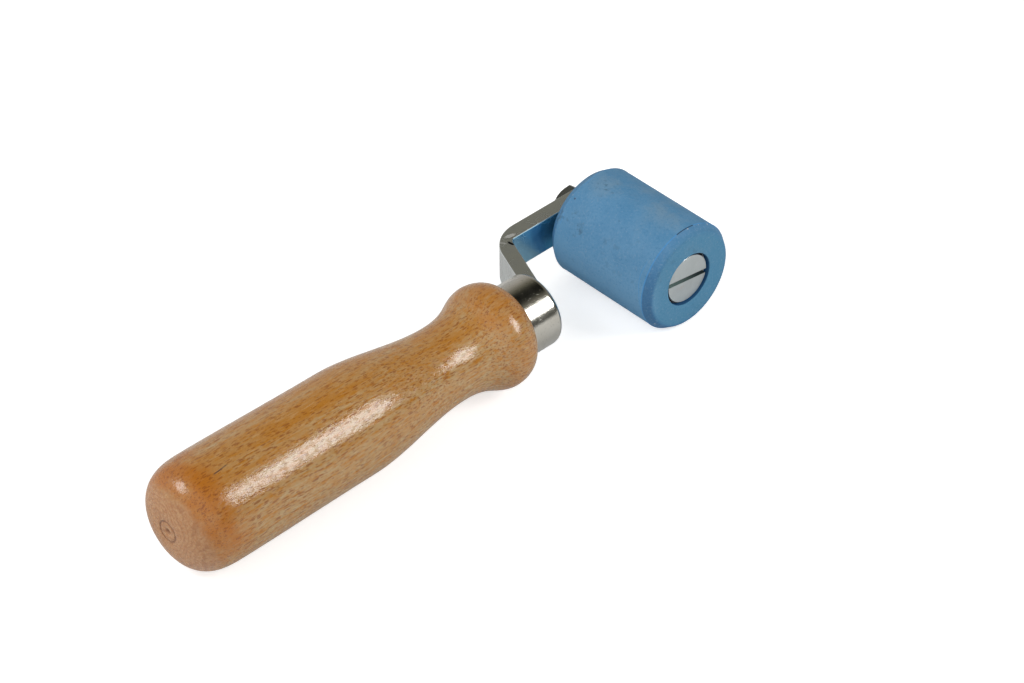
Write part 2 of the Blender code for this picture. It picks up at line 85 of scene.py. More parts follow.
axle = Vector(frame["record"]["behaviour"]["joints"][0]["pos_m"])
X, Y, Z = 0, 1, 2
roller_rear, roller_front = span("roller_tyre", X)
tread_radius = (span("roller_tyre", Z)[1] - span("roller_tyre", Z)[0]) / 2
hub_hole_radius = radial_range("roller_tyre")[0]
core_radius = radial_range("roller_core")[1]
handle_x = sum(span("ferrule", X)) / 2
ferrule_back, ferrule_mouth = span("ferrule", Y)
ferrule_radius = (span("ferrule", X)[1] - span("ferrule", X)[0]) / 2
wood_shoulder = ferrule_back - GAP
butt_end, spigot_front = span("handle", Y)
bar_half_width = (span("bracket", Z)[1] - span("bracket", Z)[0]) / 2
nut_corner = radial_range("axle_nut")[1]
thread_radius = radial_range("axle_nut")[0] - GAP
handle_line = Vector((handle_x, 0.0, axle.z))


# ---------------------------------------------------------------- what a user would change
def length_property(name, description, value):
    """A length a user can change."""
    return FloatProperty(name=name, description=description, default=value, unit="LENGTH")


def angle_property(name, description, degrees):
    """An angle a user can change."""
    return FloatProperty(name=name, description=description, default=math.radians(degrees), subtype="ANGLE",
                         unit="ROTATION")


class BrayerSizes(bpy.types.PropertyGroup):
    """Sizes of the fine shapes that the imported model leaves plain."""

    round_steps: IntProperty(name="Round steps", description="Sides of the large turned pieces",
                             default=160, min=48, max=256)
    edge_length: length_property("Edge length", "Eased edge of the roller, along the tread", 0.0024)
    edge_drop: length_property("Edge drop", "Eased edge of the roller, down the end face", 0.0018)
    mould_line: length_property("Mould line", "Height of the raised line where the tread ends", 0.00005)
    bulge_at: length_property("Bulge place", "Widest place of the bulge behind the ferrule", 0.0072)
    bulge_radius: length_property("Bulge radius", "Radius of the bulge", 0.01556)
    flank_at: length_property("Flank place", "Steepest place between bulge and neck", 0.0130)
    flank_radius: length_property("Flank radius", "Radius at the steepest place", 0.01370)
    flank_slope: FloatProperty(name="Flank slope", description="Fall of the radius at the steepest place",
                               default=-0.50)
    neck_at: length_property("Neck place", "Narrowest place of the handle", 0.0241)
    neck_radius: length_property("Neck radius", "Radius of the neck", 0.01143)
    swell_at: length_property("Swell place", "Where the neck has grown into the grip", 0.0600)
    swell_radius: length_property("Swell radius", "Radius at the front of the grip", 0.01563)
    grip_radius: length_property("Grip radius", "Widest radius of the grip", 0.01603)
    shoulder_radius: length_property("Shoulder radius", "Wood where it meets the ferrule", 0.01085)
    butt_length: length_property("Butt length", "Length of the rounded butt", 0.0150)
    butt_flat: length_property("Butt flat", "Radius of the flat on the butt", 0.0055)
    butt_power: FloatProperty(name="Butt fullness", description="Superellipse power of the butt's outline",
                              default=3.0)
    centre_ring: length_property("Centre ring", "Radius of the ring that the lathe's centre leaves", 0.0031)
    bar_thickness: length_property("Bar thickness", "Thickness of the flat bar", 0.0048)
    bar_edge: length_property("Bar edge", "Rounding of the bar's long edges", 0.00018)
    bend_radius: length_property("Bend radius", "Inside radius of each bend", 0.0015)
    elbow_radius: length_property("Elbow radius", "Outside radius of the elbow, where the metal thins",
                                  0.0123)
    crank: angle_property("Crank", "Turn of the cranked leg off the handle's line", 68.4)
    rim_clearance: length_property("Rim clearance", "Bar's corner to the inside of the ferrule", 0.0012)
    ferrule_wall: length_property("Ferrule wall", "Wall of the ferrule", 0.0009)
    ferrule_edge: length_property("Ferrule edge", "Length of the ferrule's rounded front edge", 0.0015)
    tang_length: length_property("Tang length", "Length of the tang inside the wood", 0.0440)
    slot_width: length_property("Slot width", "Width of the screwdriver slot", 0.0014)
    slot_depth: length_property("Slot depth", "Depth of the screwdriver slot", 0.0012)
    slot_turn: angle_property("Slot turn", "Turn of the slot about the axle", -8.3)
    head_chamfer: length_property("Head chamfer", "Chamfer round the screw's head", 0.00004)
    nut_turn: angle_property("Nut turn", "Turn of the nut's corner about the axle", 18.0)
    thread_pitch: length_property("Thread pitch", "Pitch of the axle screw's thread", 0.0010)


def colour_property(name, description, value):
    """A colour a user can change."""
    return FloatVectorProperty(name=name, description=description, default=value, size=3, subtype="COLOR",
                               min=0.0, max=1.0)


class BrayerColours(bpy.types.PropertyGroup):
    """Colours of the finishes, in linear light."""

    rubber: colour_property("Rubber", "Main blue of the tread", (0.082, 0.245, 0.432))
    rubber_pale: colour_property("Rubber, worn", "Dusty blue of the worn tread", (0.135, 0.310, 0.500))
    rubber_end: colour_property("Rubber, ends", "Blue of the end faces", (0.075, 0.236, 0.386))
    rubber_edge: colour_property("Rubber, edge", "Deeper blue of the eased edge", (0.028, 0.125, 0.285))
    wood_light: colour_property("Beech, light", "Pale wood between the streaks", (0.490, 0.345, 0.175))
    wood_amber: colour_property("Beech, amber", "Amber wood where the lacquer has soaked in",
                                (0.460, 0.186, 0.024))
    wood_fleck: colour_property("Beech, flecks", "Short dark flecks along the grain", (0.235, 0.060, 0.010))
    wood_end: colour_property("Beech, end grain", "Pinkish end grain of the butt", (0.425, 0.190, 0.078))
    nickel: colour_property("Nickel", "Plating of the ferrule", (0.620, 0.600, 0.540))
    zinc: colour_property("Zinc", "Plating of the bar", (0.755, 0.795, 0.785))
    nut: colour_property("Nut", "Dull plating of the nut", (0.270, 0.285, 0.275))
    screw: colour_property("Screw steel", "Screw, washer, sleeve and bush", (0.600, 0.645, 0.650))
    bearing: colour_property("Bearing steel", "Rings, shields and balls", (0.560, 0.560, 0.570))
    cage: colour_property("Cage", "Pressed ball cages", (0.420, 0.370, 0.280))
    floor: colour_property("Floor", "The studio floor", (0.800, 0.800, 0.800))


# ---------------------------------------------------------------- colours of small marks, in linear light
TREAD_DUST = (0.205, 0.310, 0.390)
PAINTED_FILL_LIGHT_BLUE = (0.150, 0.330, 0.520)
CROWN_DUST = (0.270, 0.300, 0.310)
PALE_GRAIN = (0.200, 0.330, 0.460)
DEEP_GRAIN = (0.030, 0.130, 0.280)
SMUDGE = (0.050, 0.110, 0.170)
DARK_SPECK = (0.030, 0.050, 0.085)
PALE_SPECK = (0.400, 0.450, 0.480)
HAIRLINE = (0.260, 0.390, 0.530)
MOULD_LINE_BLUE = (0.050, 0.270, 0.620)
NICK = (0.020, 0.030, 0.045)
PAINTED_HOLE_LIP_SHADE = (0.008, 0.075, 0.210)
PALE_STREAK = (0.640, 0.450, 0.240)
PALE_END_GRAIN = (0.530, 0.300, 0.145)
YEAR_RING = (0.275, 0.100, 0.040)
RING_STAIN = (0.150, 0.045, 0.018)
SCRATCH = (0.060, 0.050, 0.052)
SOAKED_WOOD = (0.450, 0.146, 0.014)
SLOT_PAINTED_SHADE_NEAR = (0.190, 0.270, 0.255)
SLOT_PAINTED_SHADE_FAR = (0.015, 0.030, 0.032)
SCREW_STAIN = (0.56, 0.47, 0.43)
GRIME = (0.20, 0.20, 0.17)
PAINTED_DARK_AND_DIRT = (0.045, 0.060, 0.075)
PAINTED_PIT_SHADE = (0.012, 0.012, 0.012)
PAINTED_GLINT = (0.95, 0.96, 0.95)
PAINTED_ROLLER_REFLECTION = (0.440, 0.810, 0.980)
FLOOR_GLOW = (0.62, 0.62, 0.62)


# ---------------------------------------------------------------- shaping
def fillet(corners, closed=False, steps=5):
    """An outline through (radius, along, rounding) corners, each rounded by an arc."""
    points = []
    count = len(corners)
    for index, (radius, along, rounding) in enumerate(corners):
        here = Vector((radius, along))
        inner = closed or 0 < index < count - 1
        if not inner or rounding <= 0:
            points.append((here.x, here.y))
            continue
        before = Vector(corners[index - 1][:2]) - here
        after = Vector(corners[(index + 1) % count][:2]) - here
        half = before.angle(after) / 2
        reach = min(rounding / math.tan(half), before.length * 0.49, after.length * 0.49)
        size = reach * math.tan(half)
        middle = here + (before.normalized() + after.normalized()).normalized() * (size / math.sin(half))
        start = here + before.normalized() * reach - middle
        finish = here + after.normalized() * reach - middle
        turn = start.angle_signed(finish)
        for step in range(steps + 1):
            spot = start.copy()
            spot.rotate(Matrix.Rotation(-turn * step / steps, 2))
            points.append(((middle + spot).x, (middle + spot).y))
    return points


def finish_shape(name, shape, sharp=35.0):
    """Merges doubles, turns faces outwards and makes the object, smooth up to the sharp angle."""
    bmesh.ops.remove_doubles(shape, verts=shape.verts, dist=JOIN_DISTANCE)
    bmesh.ops.recalc_face_normals(shape, faces=shape.faces)
    mesh = bpy.data.meshes.new(name)
    shape.to_mesh(mesh)
    shape.free()
    mesh.shade_smooth()
    mesh.set_sharp_from_angle(angle=math.radians(sharp))
    made = bpy.data.objects.new(name, mesh)
    bpy.context.scene.collection.objects.link(made)
    return made


def placement(along, centre):
    """Takes a shape turned about its own Z to a line through the centre, along X or Y."""
    turn = Matrix.Rotation(math.pi / 2, 4, "Y") if along == "X" else Matrix.Rotation(-math.pi / 2, 4, "X")
    return Matrix.Translation(centre) @ turn


def turned(name, outline, along="X", centre=None, steps=LATHE_STEPS, ring=True, sharp=35.0):
    """A piece turned about a line along X or Y; outline is (radius, distance along the line) points."""
    shape = bmesh.new()
    points = []
    for radius, distance in outline:
        spot = Vector((radius, 0.0, distance))
        if not points or (spot - points[-1].co).length > JOIN_DISTANCE:
            points.append(shape.verts.new(spot))
    edges = [shape.edges.new(pair) for pair in zip(points, points[1:])]
    if ring:
        edges.append(shape.edges.new((points[-1], points[0])))
    bmesh.ops.spin(shape, geom=points + edges, axis=(0, 0, 1), cent=(0, 0, 0), angle=math.tau, steps=steps,
                   use_merge=True)
    start = centre if centre is not None else axle_line()
    bmesh.ops.transform(shape, matrix=placement(along, start), verts=shape.verts)
    return finish_shape(name, shape, sharp)


def axle_line():
    """The point of the axle at X = 0, so that distances along it are the frame's own."""
    return Vector((0.0, axle.y, axle.z))


def round_bar(shape, radius, low, high, steps=48):
    """Adds a plain round bar along the axle to a shape."""
    made = bmesh.ops.create_cone(shape, cap_ends=True, segments=steps, radius1=radius, radius2=radius,
                                 depth=high - low)
    bmesh.ops.translate(shape, verts=made["verts"], vec=(0, 0, (low + high) / 2))
    bmesh.ops.transform(shape, matrix=placement("X", axle_line()), verts=made["verts"])


def carve(piece, cutter, operation="DIFFERENCE", sharp=35.0):
    """Cuts the piece with the cutter for good, and removes the cutter."""
    modifier = piece.modifiers.new("carve", "BOOLEAN")
    modifier.operation = operation
    modifier.solver = "EXACT"
    modifier.object = cutter
    graph = bpy.context.evaluated_depsgraph_get()
    mesh = bpy.data.meshes.new_from_object(piece.evaluated_get(graph))
    piece.modifiers.remove(modifier)
    piece.data = mesh
    mesh.shade_smooth()
    mesh.set_sharp_from_angle(angle=math.radians(sharp))
    bpy.data.objects.remove(cutter, do_unlink=True)


def even_normals(piece):
    """Weights the shading by face area, so that flat faces stay flat beside their rounded edges."""
    modifier = piece.modifiers.new("normals", "WEIGHTED_NORMAL")
    modifier.keep_sharp = True
    graph = bpy.context.evaluated_depsgraph_get()
    mesh = bpy.data.meshes.new_from_object(piece.evaluated_get(graph))
    piece.modifiers.remove(modifier)
    piece.data = mesh


def settle(piece, body, slot, material, *nodes):
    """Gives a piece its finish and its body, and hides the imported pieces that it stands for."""
    piece.data.materials.clear()
    piece.data.materials.append(material)
    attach(piece, body)
    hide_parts(*nodes)


# ---------------------------------------------------------------- shader nodes
def add(tree, kind, inputs=None, **settings):
    """A new node; an input given as a socket is linked, and any other is set."""
    made = tree.nodes.new(kind)
    for key, value in settings.items():
        setattr(made, key, value)
    for key, value in (inputs or {}).items():
        socket = made.inputs[key]
        if isinstance(value, bpy.types.NodeSocket):
            tree.links.new(value, socket)
        else:
            socket.default_value = value
    return made


def math_of(tree, operation, first, second=0.0):
    """One sum on two numbers or sockets."""
    return add(tree, "ShaderNodeMath", {0: first, 1: second}, operation=operation).outputs[0]


def times(tree, first, second):
    """Product of two numbers or sockets."""
    return math_of(tree, "MULTIPLY", first, second)


def plus(tree, first, second):
    """Sum of two numbers or sockets."""
    return math_of(tree, "ADD", first, second)


def minus(tree, first, second):
    """The first number or socket less the second."""
    return math_of(tree, "SUBTRACT", first, second)


def absolute(tree, value):
    """A number without its sign."""
    return math_of(tree, "ABSOLUTE", value)


def larger(tree, first, second):
    """The larger of two numbers or sockets."""
    return math_of(tree, "MAXIMUM", first, second)


def step_of(tree, value, low, high):
    """0 below low and 1 above high, or the other way round, with a soft step between."""
    return add(tree, "ShaderNodeMapRange", {"Value": value, "From Min": low, "From Max": high},
               interpolation_type="SMOOTHSTEP").outputs[0]


def blend(tree, factor, first, second):
    """Two colours mixed by a factor."""
    mix = add(tree, "ShaderNodeMix", {0: factor}, data_type="RGBA", blend_type="MIX")
    for index, value in ((6, first), (7, second)):
        if isinstance(value, bpy.types.NodeSocket):
            tree.links.new(value, mix.inputs[index])
        else:
            mix.inputs[index].default_value = (*value[:3], 1.0)
    return mix.outputs[2]


def place(tree, middle, turn=(0.0, 0.0, 0.0)):
    """Object coordinates measured from a piece's middle, and turned."""
    coordinates = add(tree, "ShaderNodeTexCoord").outputs["Object"]
    shift = add(tree, "ShaderNodeMapping", {"Vector": coordinates, "Location": [-v for v in middle]})
    return add(tree, "ShaderNodeMapping", {"Vector": shift.outputs[0], "Rotation": turn}).outputs[0]


def stretch(tree, vector, scale):
    """The same coordinates, stretched."""
    return add(tree, "ShaderNodeMapping", {"Vector": vector, "Scale": scale}).outputs[0]


def split(tree, vector):
    """The three coordinates of a vector."""
    return add(tree, "ShaderNodeSeparateXYZ", {0: vector}).outputs


def noise(tree, vector, scale, detail=2.0, roughness=0.5, distortion=0.0):
    """Soft noise from 0 to 1."""
    return add(tree, "ShaderNodeTexNoise", {"Vector": vector, "Scale": scale, "Detail": detail,
                                            "Roughness": roughness,
                                            "Distortion": distortion}).outputs["Fac"]


def new_group(name, inputs, output_names):
    """An empty node group with a vector, number inputs and number outputs."""
    tree = bpy.data.node_groups.new(name, "ShaderNodeTree")
    tree.interface.new_socket("Vector", in_out="INPUT", socket_type="NodeSocketVector")
    for label, value in inputs.items():
        tree.interface.new_socket(label, in_out="INPUT",
                                  socket_type="NodeSocketFloat").default_value = value
    for label in output_names:
        tree.interface.new_socket(label, in_out="OUTPUT", socket_type="NodeSocketFloat")
    return tree, tree.nodes.new("NodeGroupInput").outputs, tree.nodes.new("NodeGroupOutput").inputs


def use_group(tree, name, vector, **values):
    """A group's node with its values set; underscores in a value's name stand for spaces."""
    made = add(tree, "ShaderNodeGroup", node_tree=bpy.data.node_groups[name])
    tree.links.new(vector, made.inputs["Vector"])
    for label, value in values.items():
        made.inputs[label.replace("_", " ").capitalize()].default_value = value
    return made.outputs


def make_mottle_group():
    """Cloudy patches: noise between two levels."""
    tree, given, out = new_group("Mottle", {"Scale": 200.0, "Low": 0.4, "High": 0.6, "Detail": 3.0},
                                 ["Mask"])
    cloud = add(tree, "ShaderNodeTexNoise", {"Vector": given["Vector"], "Scale": given["Scale"],
                                             "Detail": given["Detail"], "Roughness": 0.6})
    mask = add(tree, "ShaderNodeMapRange", {"Value": cloud.outputs["Fac"], "From Min": given["Low"],
                                            "From Max": given["High"]}, interpolation_type="SMOOTHSTEP")
    tree.links.new(mask.outputs[0], out["Mask"])


def make_speck_group():
    """Small round specks: a share of the cells of a cell pattern, each with one speck."""
    tree, given, out = new_group("Specks", {"Scale": 500.0, "Size": 0.15, "Share": 0.3}, ["Mask"])
    cells = add(tree, "ShaderNodeTexVoronoi", {"Vector": given["Vector"], "Scale": given["Scale"]})
    luck = add(tree, "ShaderNodeSeparateColor", {0: cells.outputs["Color"]}).outputs
    size = times(tree, given["Size"], luck[1])
    inside = math_of(tree, "LESS_THAN", cells.outputs["Distance"], size)
    chosen = math_of(tree, "LESS_THAN", luck[0], given["Share"])
    tree.links.new(times(tree, inside, chosen), out["Mask"])


def make_scratch_group():
    """Hairlines: thin level lines of a wandering noise, broken into stretches."""
    tree, given, out = new_group("Hairlines", {"Scale": 60.0, "Width": 0.004, "Share": 0.5}, ["Mask"])
    wander = add(tree, "ShaderNodeTexNoise", {"Vector": given["Vector"], "Scale": given["Scale"],
                                              "Detail": 1.5, "Distortion": 0.6}).outputs["Fac"]
    off = absolute(tree, minus(tree, wander, 0.5))
    line = math_of(tree, "LESS_THAN", off, given["Width"])
    patch = add(tree, "ShaderNodeTexNoise", {"Vector": given["Vector"], "Scale": 210.0, "Detail": 0.0})
    kept = math_of(tree, "LESS_THAN", patch.outputs["Fac"], given["Share"])
    tree.links.new(times(tree, line, kept), out["Mask"])


def make_tool_mark_group():
    """Fine rings left by a cutting tool, about the X axis of the coordinates given."""
    tree, given, out = new_group("Tool marks", {"Pitch": 0.0002, "Depth": 1.0}, ["Height"])
    parts = split(tree, given["Vector"])
    radius = ring_radius(tree, parts[1], parts[2])
    reach = plus(tree, radius, parts[0])
    wave = math_of(tree, "SINE", math_of(tree, "DIVIDE", times(tree, reach, math.tau), given["Pitch"]))
    rough = noise(tree, given["Vector"], 400.0, 2.0)
    mixed = times(tree, plus(tree, wave, rough), given["Depth"])
    tree.links.new(mixed, out["Height"])


def new_material(name):
    """A material with its tree and its Principled shader."""
    material = bpy.data.materials.new(name)
    material.use_nodes = True
    tree = material.node_tree
    return material, tree, tree.nodes["Principled BSDF"]


def bump(tree, shader, height, strength, distance=0.0001):
    """Raises the surface by a height through the shader's normal."""
    made = add(tree, "ShaderNodeBump", {"Height": height, "Strength": strength, "Distance": distance})
    tree.links.new(made.outputs[0], shader.inputs["Normal"])


def set_finish(shader, metallic=0.0, roughness=None, **values):
    """Constant values on the shader's own sockets."""
    shader.inputs["Metallic"].default_value = metallic
    if roughness is not None:
        shader.inputs["Roughness"].default_value = roughness
    for label, value in values.items():
        shader.inputs[label.replace("_", " ")].default_value = value


def rubber_material(colours, sizes):
    """Matt blue rubber with dust, smudges, pale specks and a dark nick at the edge of the tread, with painted
    light: a paler side towards the handle and shade at the lip of the hub hole.
    """
    material, tree, shader = new_material("blue_rubber")
    spot = place(tree, axle)
    parts = split(tree, spot)
    half = (roller_front - roller_rear) / 2
    outward = absolute(tree, parts[0])
    radius = ring_radius(tree, parts[1], parts[2])
    clouds = use_group(tree, "Mottle", spot, scale=170.0, low=0.34, high=0.68, detail=5.0)["Mask"]
    dust = use_group(tree, "Mottle", spot, scale=75.0, low=0.40, high=0.66, detail=6.0)["Mask"]
    colour = blend(tree, times(tree, clouds, 0.45), colours.rubber, colours.rubber_pale)
    end = step_of(tree, radius, tread_radius - 0.4 * MM, tread_radius - 2.2 * MM)
    colour = blend(tree, end, colour, colours.rubber_end)
    top = step_of(tree, plus(tree, parts[2], times(tree, parts[1], 0.7)), 2.0 * MM, 19.0 * MM)
    tread_dust = times(tree, times(tree, dust, 0.24), plus(tree, times(tree, top, 1.6), 0.2))
    colour = blend(tree, tread_dust, colour, TREAD_DUST)
    # Painted light: the tread's side towards the handle is painted a paler blue, standing in for the fill
    # light that falls on it.
    painted_fill_light = times(tree, step_of(tree, parts[1], -9.0 * MM, -18.0 * MM),
                   step_of(tree, absolute(tree, parts[2]), 10.0 * MM, 2.0 * MM))
    colour = blend(tree, times(tree, painted_fill_light, 0.55), colour, PAINTED_FILL_LIGHT_BLUE)
    crown = step_of(tree, plus(tree, parts[2], times(tree, parts[1], 0.35)), 15.0 * MM, 20.0 * MM)
    colour = blend(tree, times(tree, times(tree, crown, dust), 0.30), colour, CROWN_DUST)
    band = times(tree, step_of(tree, outward, half - sizes.edge_length - 0.05 * MM,
                               half - sizes.edge_length + 0.25 * MM),
                 step_of(tree, radius, tread_radius - 2.9 * MM, tread_radius - 1.4 * MM))
    low_side = step_of(tree, plus(tree, parts[2], times(tree, parts[1], 0.9)), 9.0 * MM, -12.0 * MM)
    colour = blend(tree, times(tree, band, plus(tree, times(tree, low_side, 0.50), 0.22)), colour,
                   colours.rubber_edge)
    grain = noise(tree, spot, 1400.0, 4.0, 0.85)
    colour = blend(tree, times(tree, step_of(tree, grain, 0.52, 0.70), 0.55), colour, PALE_GRAIN)
    colour = blend(tree, times(tree, step_of(tree, grain, 0.47, 0.30), 0.50), colour, DEEP_GRAIN)
    smudge = use_group(tree, "Mottle", spot, scale=480.0, low=0.52, high=0.70, detail=4.0)["Mask"]
    smudge_zone = use_group(tree, "Mottle", spot, scale=82.0, low=0.50, high=0.60, detail=2.0)["Mask"]
    rear_side = step_of(tree, parts[0], 6.0 * MM, -14.0 * MM)
    smudge = times(tree, times(tree, smudge, smudge_zone), plus(tree, times(tree, rear_side, 0.50), 0.22))
    colour = blend(tree, smudge, colour, SMUDGE)
    dark_specks = use_group(tree, "Specks", spot, scale=420.0, size=0.13, share=0.12)["Mask"]
    colour = blend(tree, times(tree, dark_specks, 0.75), colour, DARK_SPECK)
    pale_specks = use_group(tree, "Specks", spot, scale=900.0, size=0.30, share=0.16)["Mask"]
    rim = times(tree, band, step_of(tree, radius, tread_radius - 2.2 * MM, tread_radius - 1.0 * MM))
    pale_share = plus(tree, times(tree, rim, 0.62), 0.10)
    colour = blend(tree, times(tree, pale_specks, pale_share), colour, PALE_SPECK)
    hairs = use_group(tree, "Hairlines", spot, scale=40.0, width=0.0016, share=0.36)["Mask"]
    colour = blend(tree, times(tree, hairs, 0.22), colour, HAIRLINE)
    blue_line = times(tree, mould_line(tree, outward, half - sizes.edge_length - 0.05 * MM, 0.30 * MM),
                      times(tree, step_of(tree, parts[0], -1.0 * MM, 1.0 * MM), 0.55))
    wander = plus(tree, outward, times(tree, noise(tree, spot, 45.0, 1.0), 7.0 * MM))
    flash = times(tree, mould_line(tree, wander, half + 0.2 * MM, 0.20 * MM),
                  step_of(tree, radius, tread_radius - 0.3 * MM, tread_radius - 0.1 * MM))
    flash = times(tree, flash, step_of(tree, dust, 0.2, 0.7))
    colour = blend(tree, larger(tree, blue_line, times(tree, flash, 0.38)), colour, MOULD_LINE_BLUE)
    round_place = math_of(tree, "ARCTAN2", parts[2], parts[1])
    nick_round = absolute(tree, minus(tree, round_place, 1.563))
    nick = times(tree, step_of(tree, nick_round, 0.205, 0.185),
                 mould_line(tree, parts[0], half - sizes.edge_length, 0.24 * MM))
    ragged = step_of(tree, noise(tree, spot, 900.0, 2.0), 0.24, 0.46)
    nick = times(tree, nick, ragged)
    colour = blend(tree, times(tree, nick, 0.85), colour, NICK)
    # Painted shade: a dark blue ring at the lip of the hub hole, where the hole falls into shade.
    hole = times(tree, step_of(tree, radius, hub_hole_radius + 0.35 * MM, hub_hole_radius + 0.05 * MM),
                 step_of(tree, outward, half - 0.05 * MM, half - 0.35 * MM))
    colour = blend(tree, times(tree, hole, 0.85), colour, PAINTED_HOLE_LIP_SHADE)
    tree.links.new(colour, shader.inputs["Base Color"])
    rough = plus(tree, times(tree, clouds, 0.10), 0.62)
    tree.links.new(rough, shader.inputs["Roughness"])
    set_finish(shader, Specular_IOR_Level=0.30)
    height = plus(tree, grain, times(tree, nick, -3.0))
    height = minus(tree, height, times(tree, hairs, 0.5))
    bump(tree, shader, height, 0.35, 0.00006)
    return material


def ring_radius(tree, first, second):
    """Distance from a line, from the two coordinates across it."""
    return math_of(tree, "SQRT", plus(tree, times(tree, first, first), times(tree, second, second)))


def mould_line(tree, coordinate, place_along, half_width):
    """A soft thin line where a coordinate has one value."""
    off = absolute(tree, minus(tree, coordinate, place_along))
    return step_of(tree, off, half_width, half_width * 0.3)


def wood_material(colours, sizes):
    """Lacquered beech: fine streaks, short dark flecks, amber patches and pinkish end grain."""
    material, tree, shader = new_material("lacquered_beech")
    spot = place(tree, handle_line)
    parts = split(tree, spot)
    sway = add(tree, "ShaderNodeTexNoise", {"Vector": spot, "Scale": 28.0, "Detail": 1.0}).outputs["Color"]
    sway = add(tree, "ShaderNodeVectorMath", {0: sway, 1: (0.5, 0.5, 0.5)}, operation="SUBTRACT").outputs[0]
    sway = add(tree, "ShaderNodeVectorMath", {0: sway, 1: (0.004, 0.0, 0.004)},
               operation="MULTIPLY").outputs[0]
    grain_way = add(tree, "ShaderNodeVectorMath", {0: spot, 1: sway}, operation="ADD").outputs[0]
    streaks = noise(tree, stretch(tree, grain_way, (1.0, 0.08, 1.0)), 1500.0, 4.0, 0.65)
    short = noise(tree, stretch(tree, grain_way, (1.0, 0.22, 1.0)), 1300.0, 3.0, 0.6)
    bands = noise(tree, stretch(tree, grain_way, (1.0, 0.09, 1.0)), 210.0, 3.0, 0.5)
    mixed = plus(tree, times(tree, streaks, 0.5), times(tree, short, 0.5))
    colour = blend(tree, step_of(tree, mixed, 0.34, 0.60), colours.wood_amber, colours.wood_light)
    patches = use_group(tree, "Mottle", stretch(tree, spot, (1.0, 0.45, 1.0)), scale=60.0, low=0.40,
                        high=0.66, detail=3.0)["Mask"]
    # Deeper amber on the upper side: partly the wood's own colour and partly painted sheen, as it leaves the
    # sides paler, the way sheen pales them.
    upper = step_of(tree, minus(tree, parts[2], times(tree, parts[0], 0.75)), -9.0 * MM, 12.0 * MM)
    amber = plus(tree, times(tree, patches, 0.35), times(tree, upper, 0.60))
    amber = times(tree, amber, step_of(tree, bands, 0.25, 0.65))
    colour = blend(tree, amber, colour, colours.wood_amber)
    along = minus(tree, parts[1], butt_end)
    ring_shift = times(tree, bands, 1.6 * MM)
    across = add(tree, "ShaderNodeVectorMath", {0: stretch(tree, grain_way, (1.0, 0.0, 1.0)),
                                                1: (0.031, 0.0, -0.024)},
                 operation="DISTANCE").outputs["Value"]
    rings = math_of(tree, "SINE", times(tree, plus(tree, across, ring_shift), math.tau / (2.3 * MM)))
    rings = step_of(tree, rings, 0.15, 1.0)
    colour = blend(tree, times(tree, rings, 0.20), colour, colours.wood_amber)
    flecks = fleck_mask(tree, grain_way, 2500.0, 0.15, 0.52, 0.55)
    flecks = larger(tree, flecks, fleck_mask(tree, grain_way, 3500.0, 0.17, 0.52, 0.60))
    flecks = larger(tree, flecks, fleck_mask(tree, grain_way, 1700.0, 0.12, 0.34, 0.14))
    fine = noise(tree, stretch(tree, grain_way, (1.0, 0.06, 1.0)), 3000.0, 3.0, 0.6)
    colour = blend(tree, times(tree, step_of(tree, fine, 0.56, 0.72), 0.50), colour, PALE_STREAK)
    slope = end_grain_mask(tree, spot, parts, along)
    side_grain = minus(tree, 1.0, slope)
    colour = dark_soak(tree, colour, parts, along)
    fleck_depth = plus(tree, times(tree, short, 0.6), 0.36)
    colour = blend(tree, times(tree, times(tree, flecks, side_grain), fleck_depth), colour,
                   colours.wood_fleck)
    pores = noise(tree, spot, 1500.0, 3.0, 0.65)
    end_colour = blend(tree, step_of(tree, pores, 0.36, 0.66), colours.wood_end, PALE_END_GRAIN)
    pith = add(tree, "ShaderNodeVectorMath", {0: stretch(tree, spot, (1.0, 0.0, 1.0)),
                                              1: (-0.0035, 0.0, 0.0030)},
               operation="DISTANCE").outputs["Value"]
    sway_round = times(tree, noise(tree, spot, 130.0, 3.0), 9.0 * MM)
    year = math_of(tree, "SINE", times(tree, plus(tree, pith, sway_round), math.tau / (1.7 * MM)))
    end_colour = blend(tree, times(tree, step_of(tree, year, -0.2, 1.0), 0.36), end_colour, YEAR_RING)
    colour = blend(tree, times(tree, slope, 0.92), colour, end_colour)
    ring_mark = ring_stain(tree, parts, along, sizes)
    colour = blend(tree, ring_mark, colour, RING_STAIN)
    colour = blend(tree, scratch_mark(tree, spot), colour, SCRATCH)
    tree.links.new(colour, shader.inputs["Base Color"])
    polish = noise(tree, stretch(tree, spot, (1.0, 0.25, 1.0)), 260.0, 3.0)
    rough = plus(tree, times(tree, polish, 0.10), 0.055)
    rough = plus(tree, rough, times(tree, slope, 0.14))
    dry = step_of(tree, noise(tree, stretch(tree, grain_way, (1.0, 0.45, 1.0)), 1500.0, 2.0), 0.48, 0.62)
    rough = plus(tree, rough, times(tree, dry, 0.20))
    tree.links.new(rough, shader.inputs["Roughness"])
    set_finish(shader, Specular_IOR_Level=0.55)
    ripple = noise(tree, stretch(tree, grain_way, (1.0, 0.42, 1.0)), 1050.0, 3.0, 0.7)
    waves = noise(tree, stretch(tree, spot, (1.0, 0.5, 1.0)), 230.0, 1.0)
    height = plus(tree, times(tree, ripple, 1.30), waves)
    height = plus(tree, height, times(tree, noise(tree, spot, 4200.0, 1.0), 0.10))
    height = minus(tree, height, times(tree, ring_mark, 1.6))
    bump(tree, shader, height, 0.50, 0.00012)
    return material


def fleck_mask(tree, spot, scale, squash, size, share):
    """Short dark spindles along the grain: a share of the cells of a stretched cell pattern."""
    return use_group(tree, "Specks", stretch(tree, spot, (1.0, squash, 1.0)), scale=scale, size=size,
                     share=share)["Mask"]


def end_grain_mask(tree, spot, parts, along):
    """1 on the butt's end grain, falling to 0 round its shoulder, sooner on top than below."""
    lean = plus(tree, along, times(tree, parts[2], 0.20))
    ragged = times(tree, noise(tree, spot, 320.0, 3.0), 2.4 * MM)
    return step_of(tree, plus(tree, lean, ragged), 6.8 * MM, 4.2 * MM)


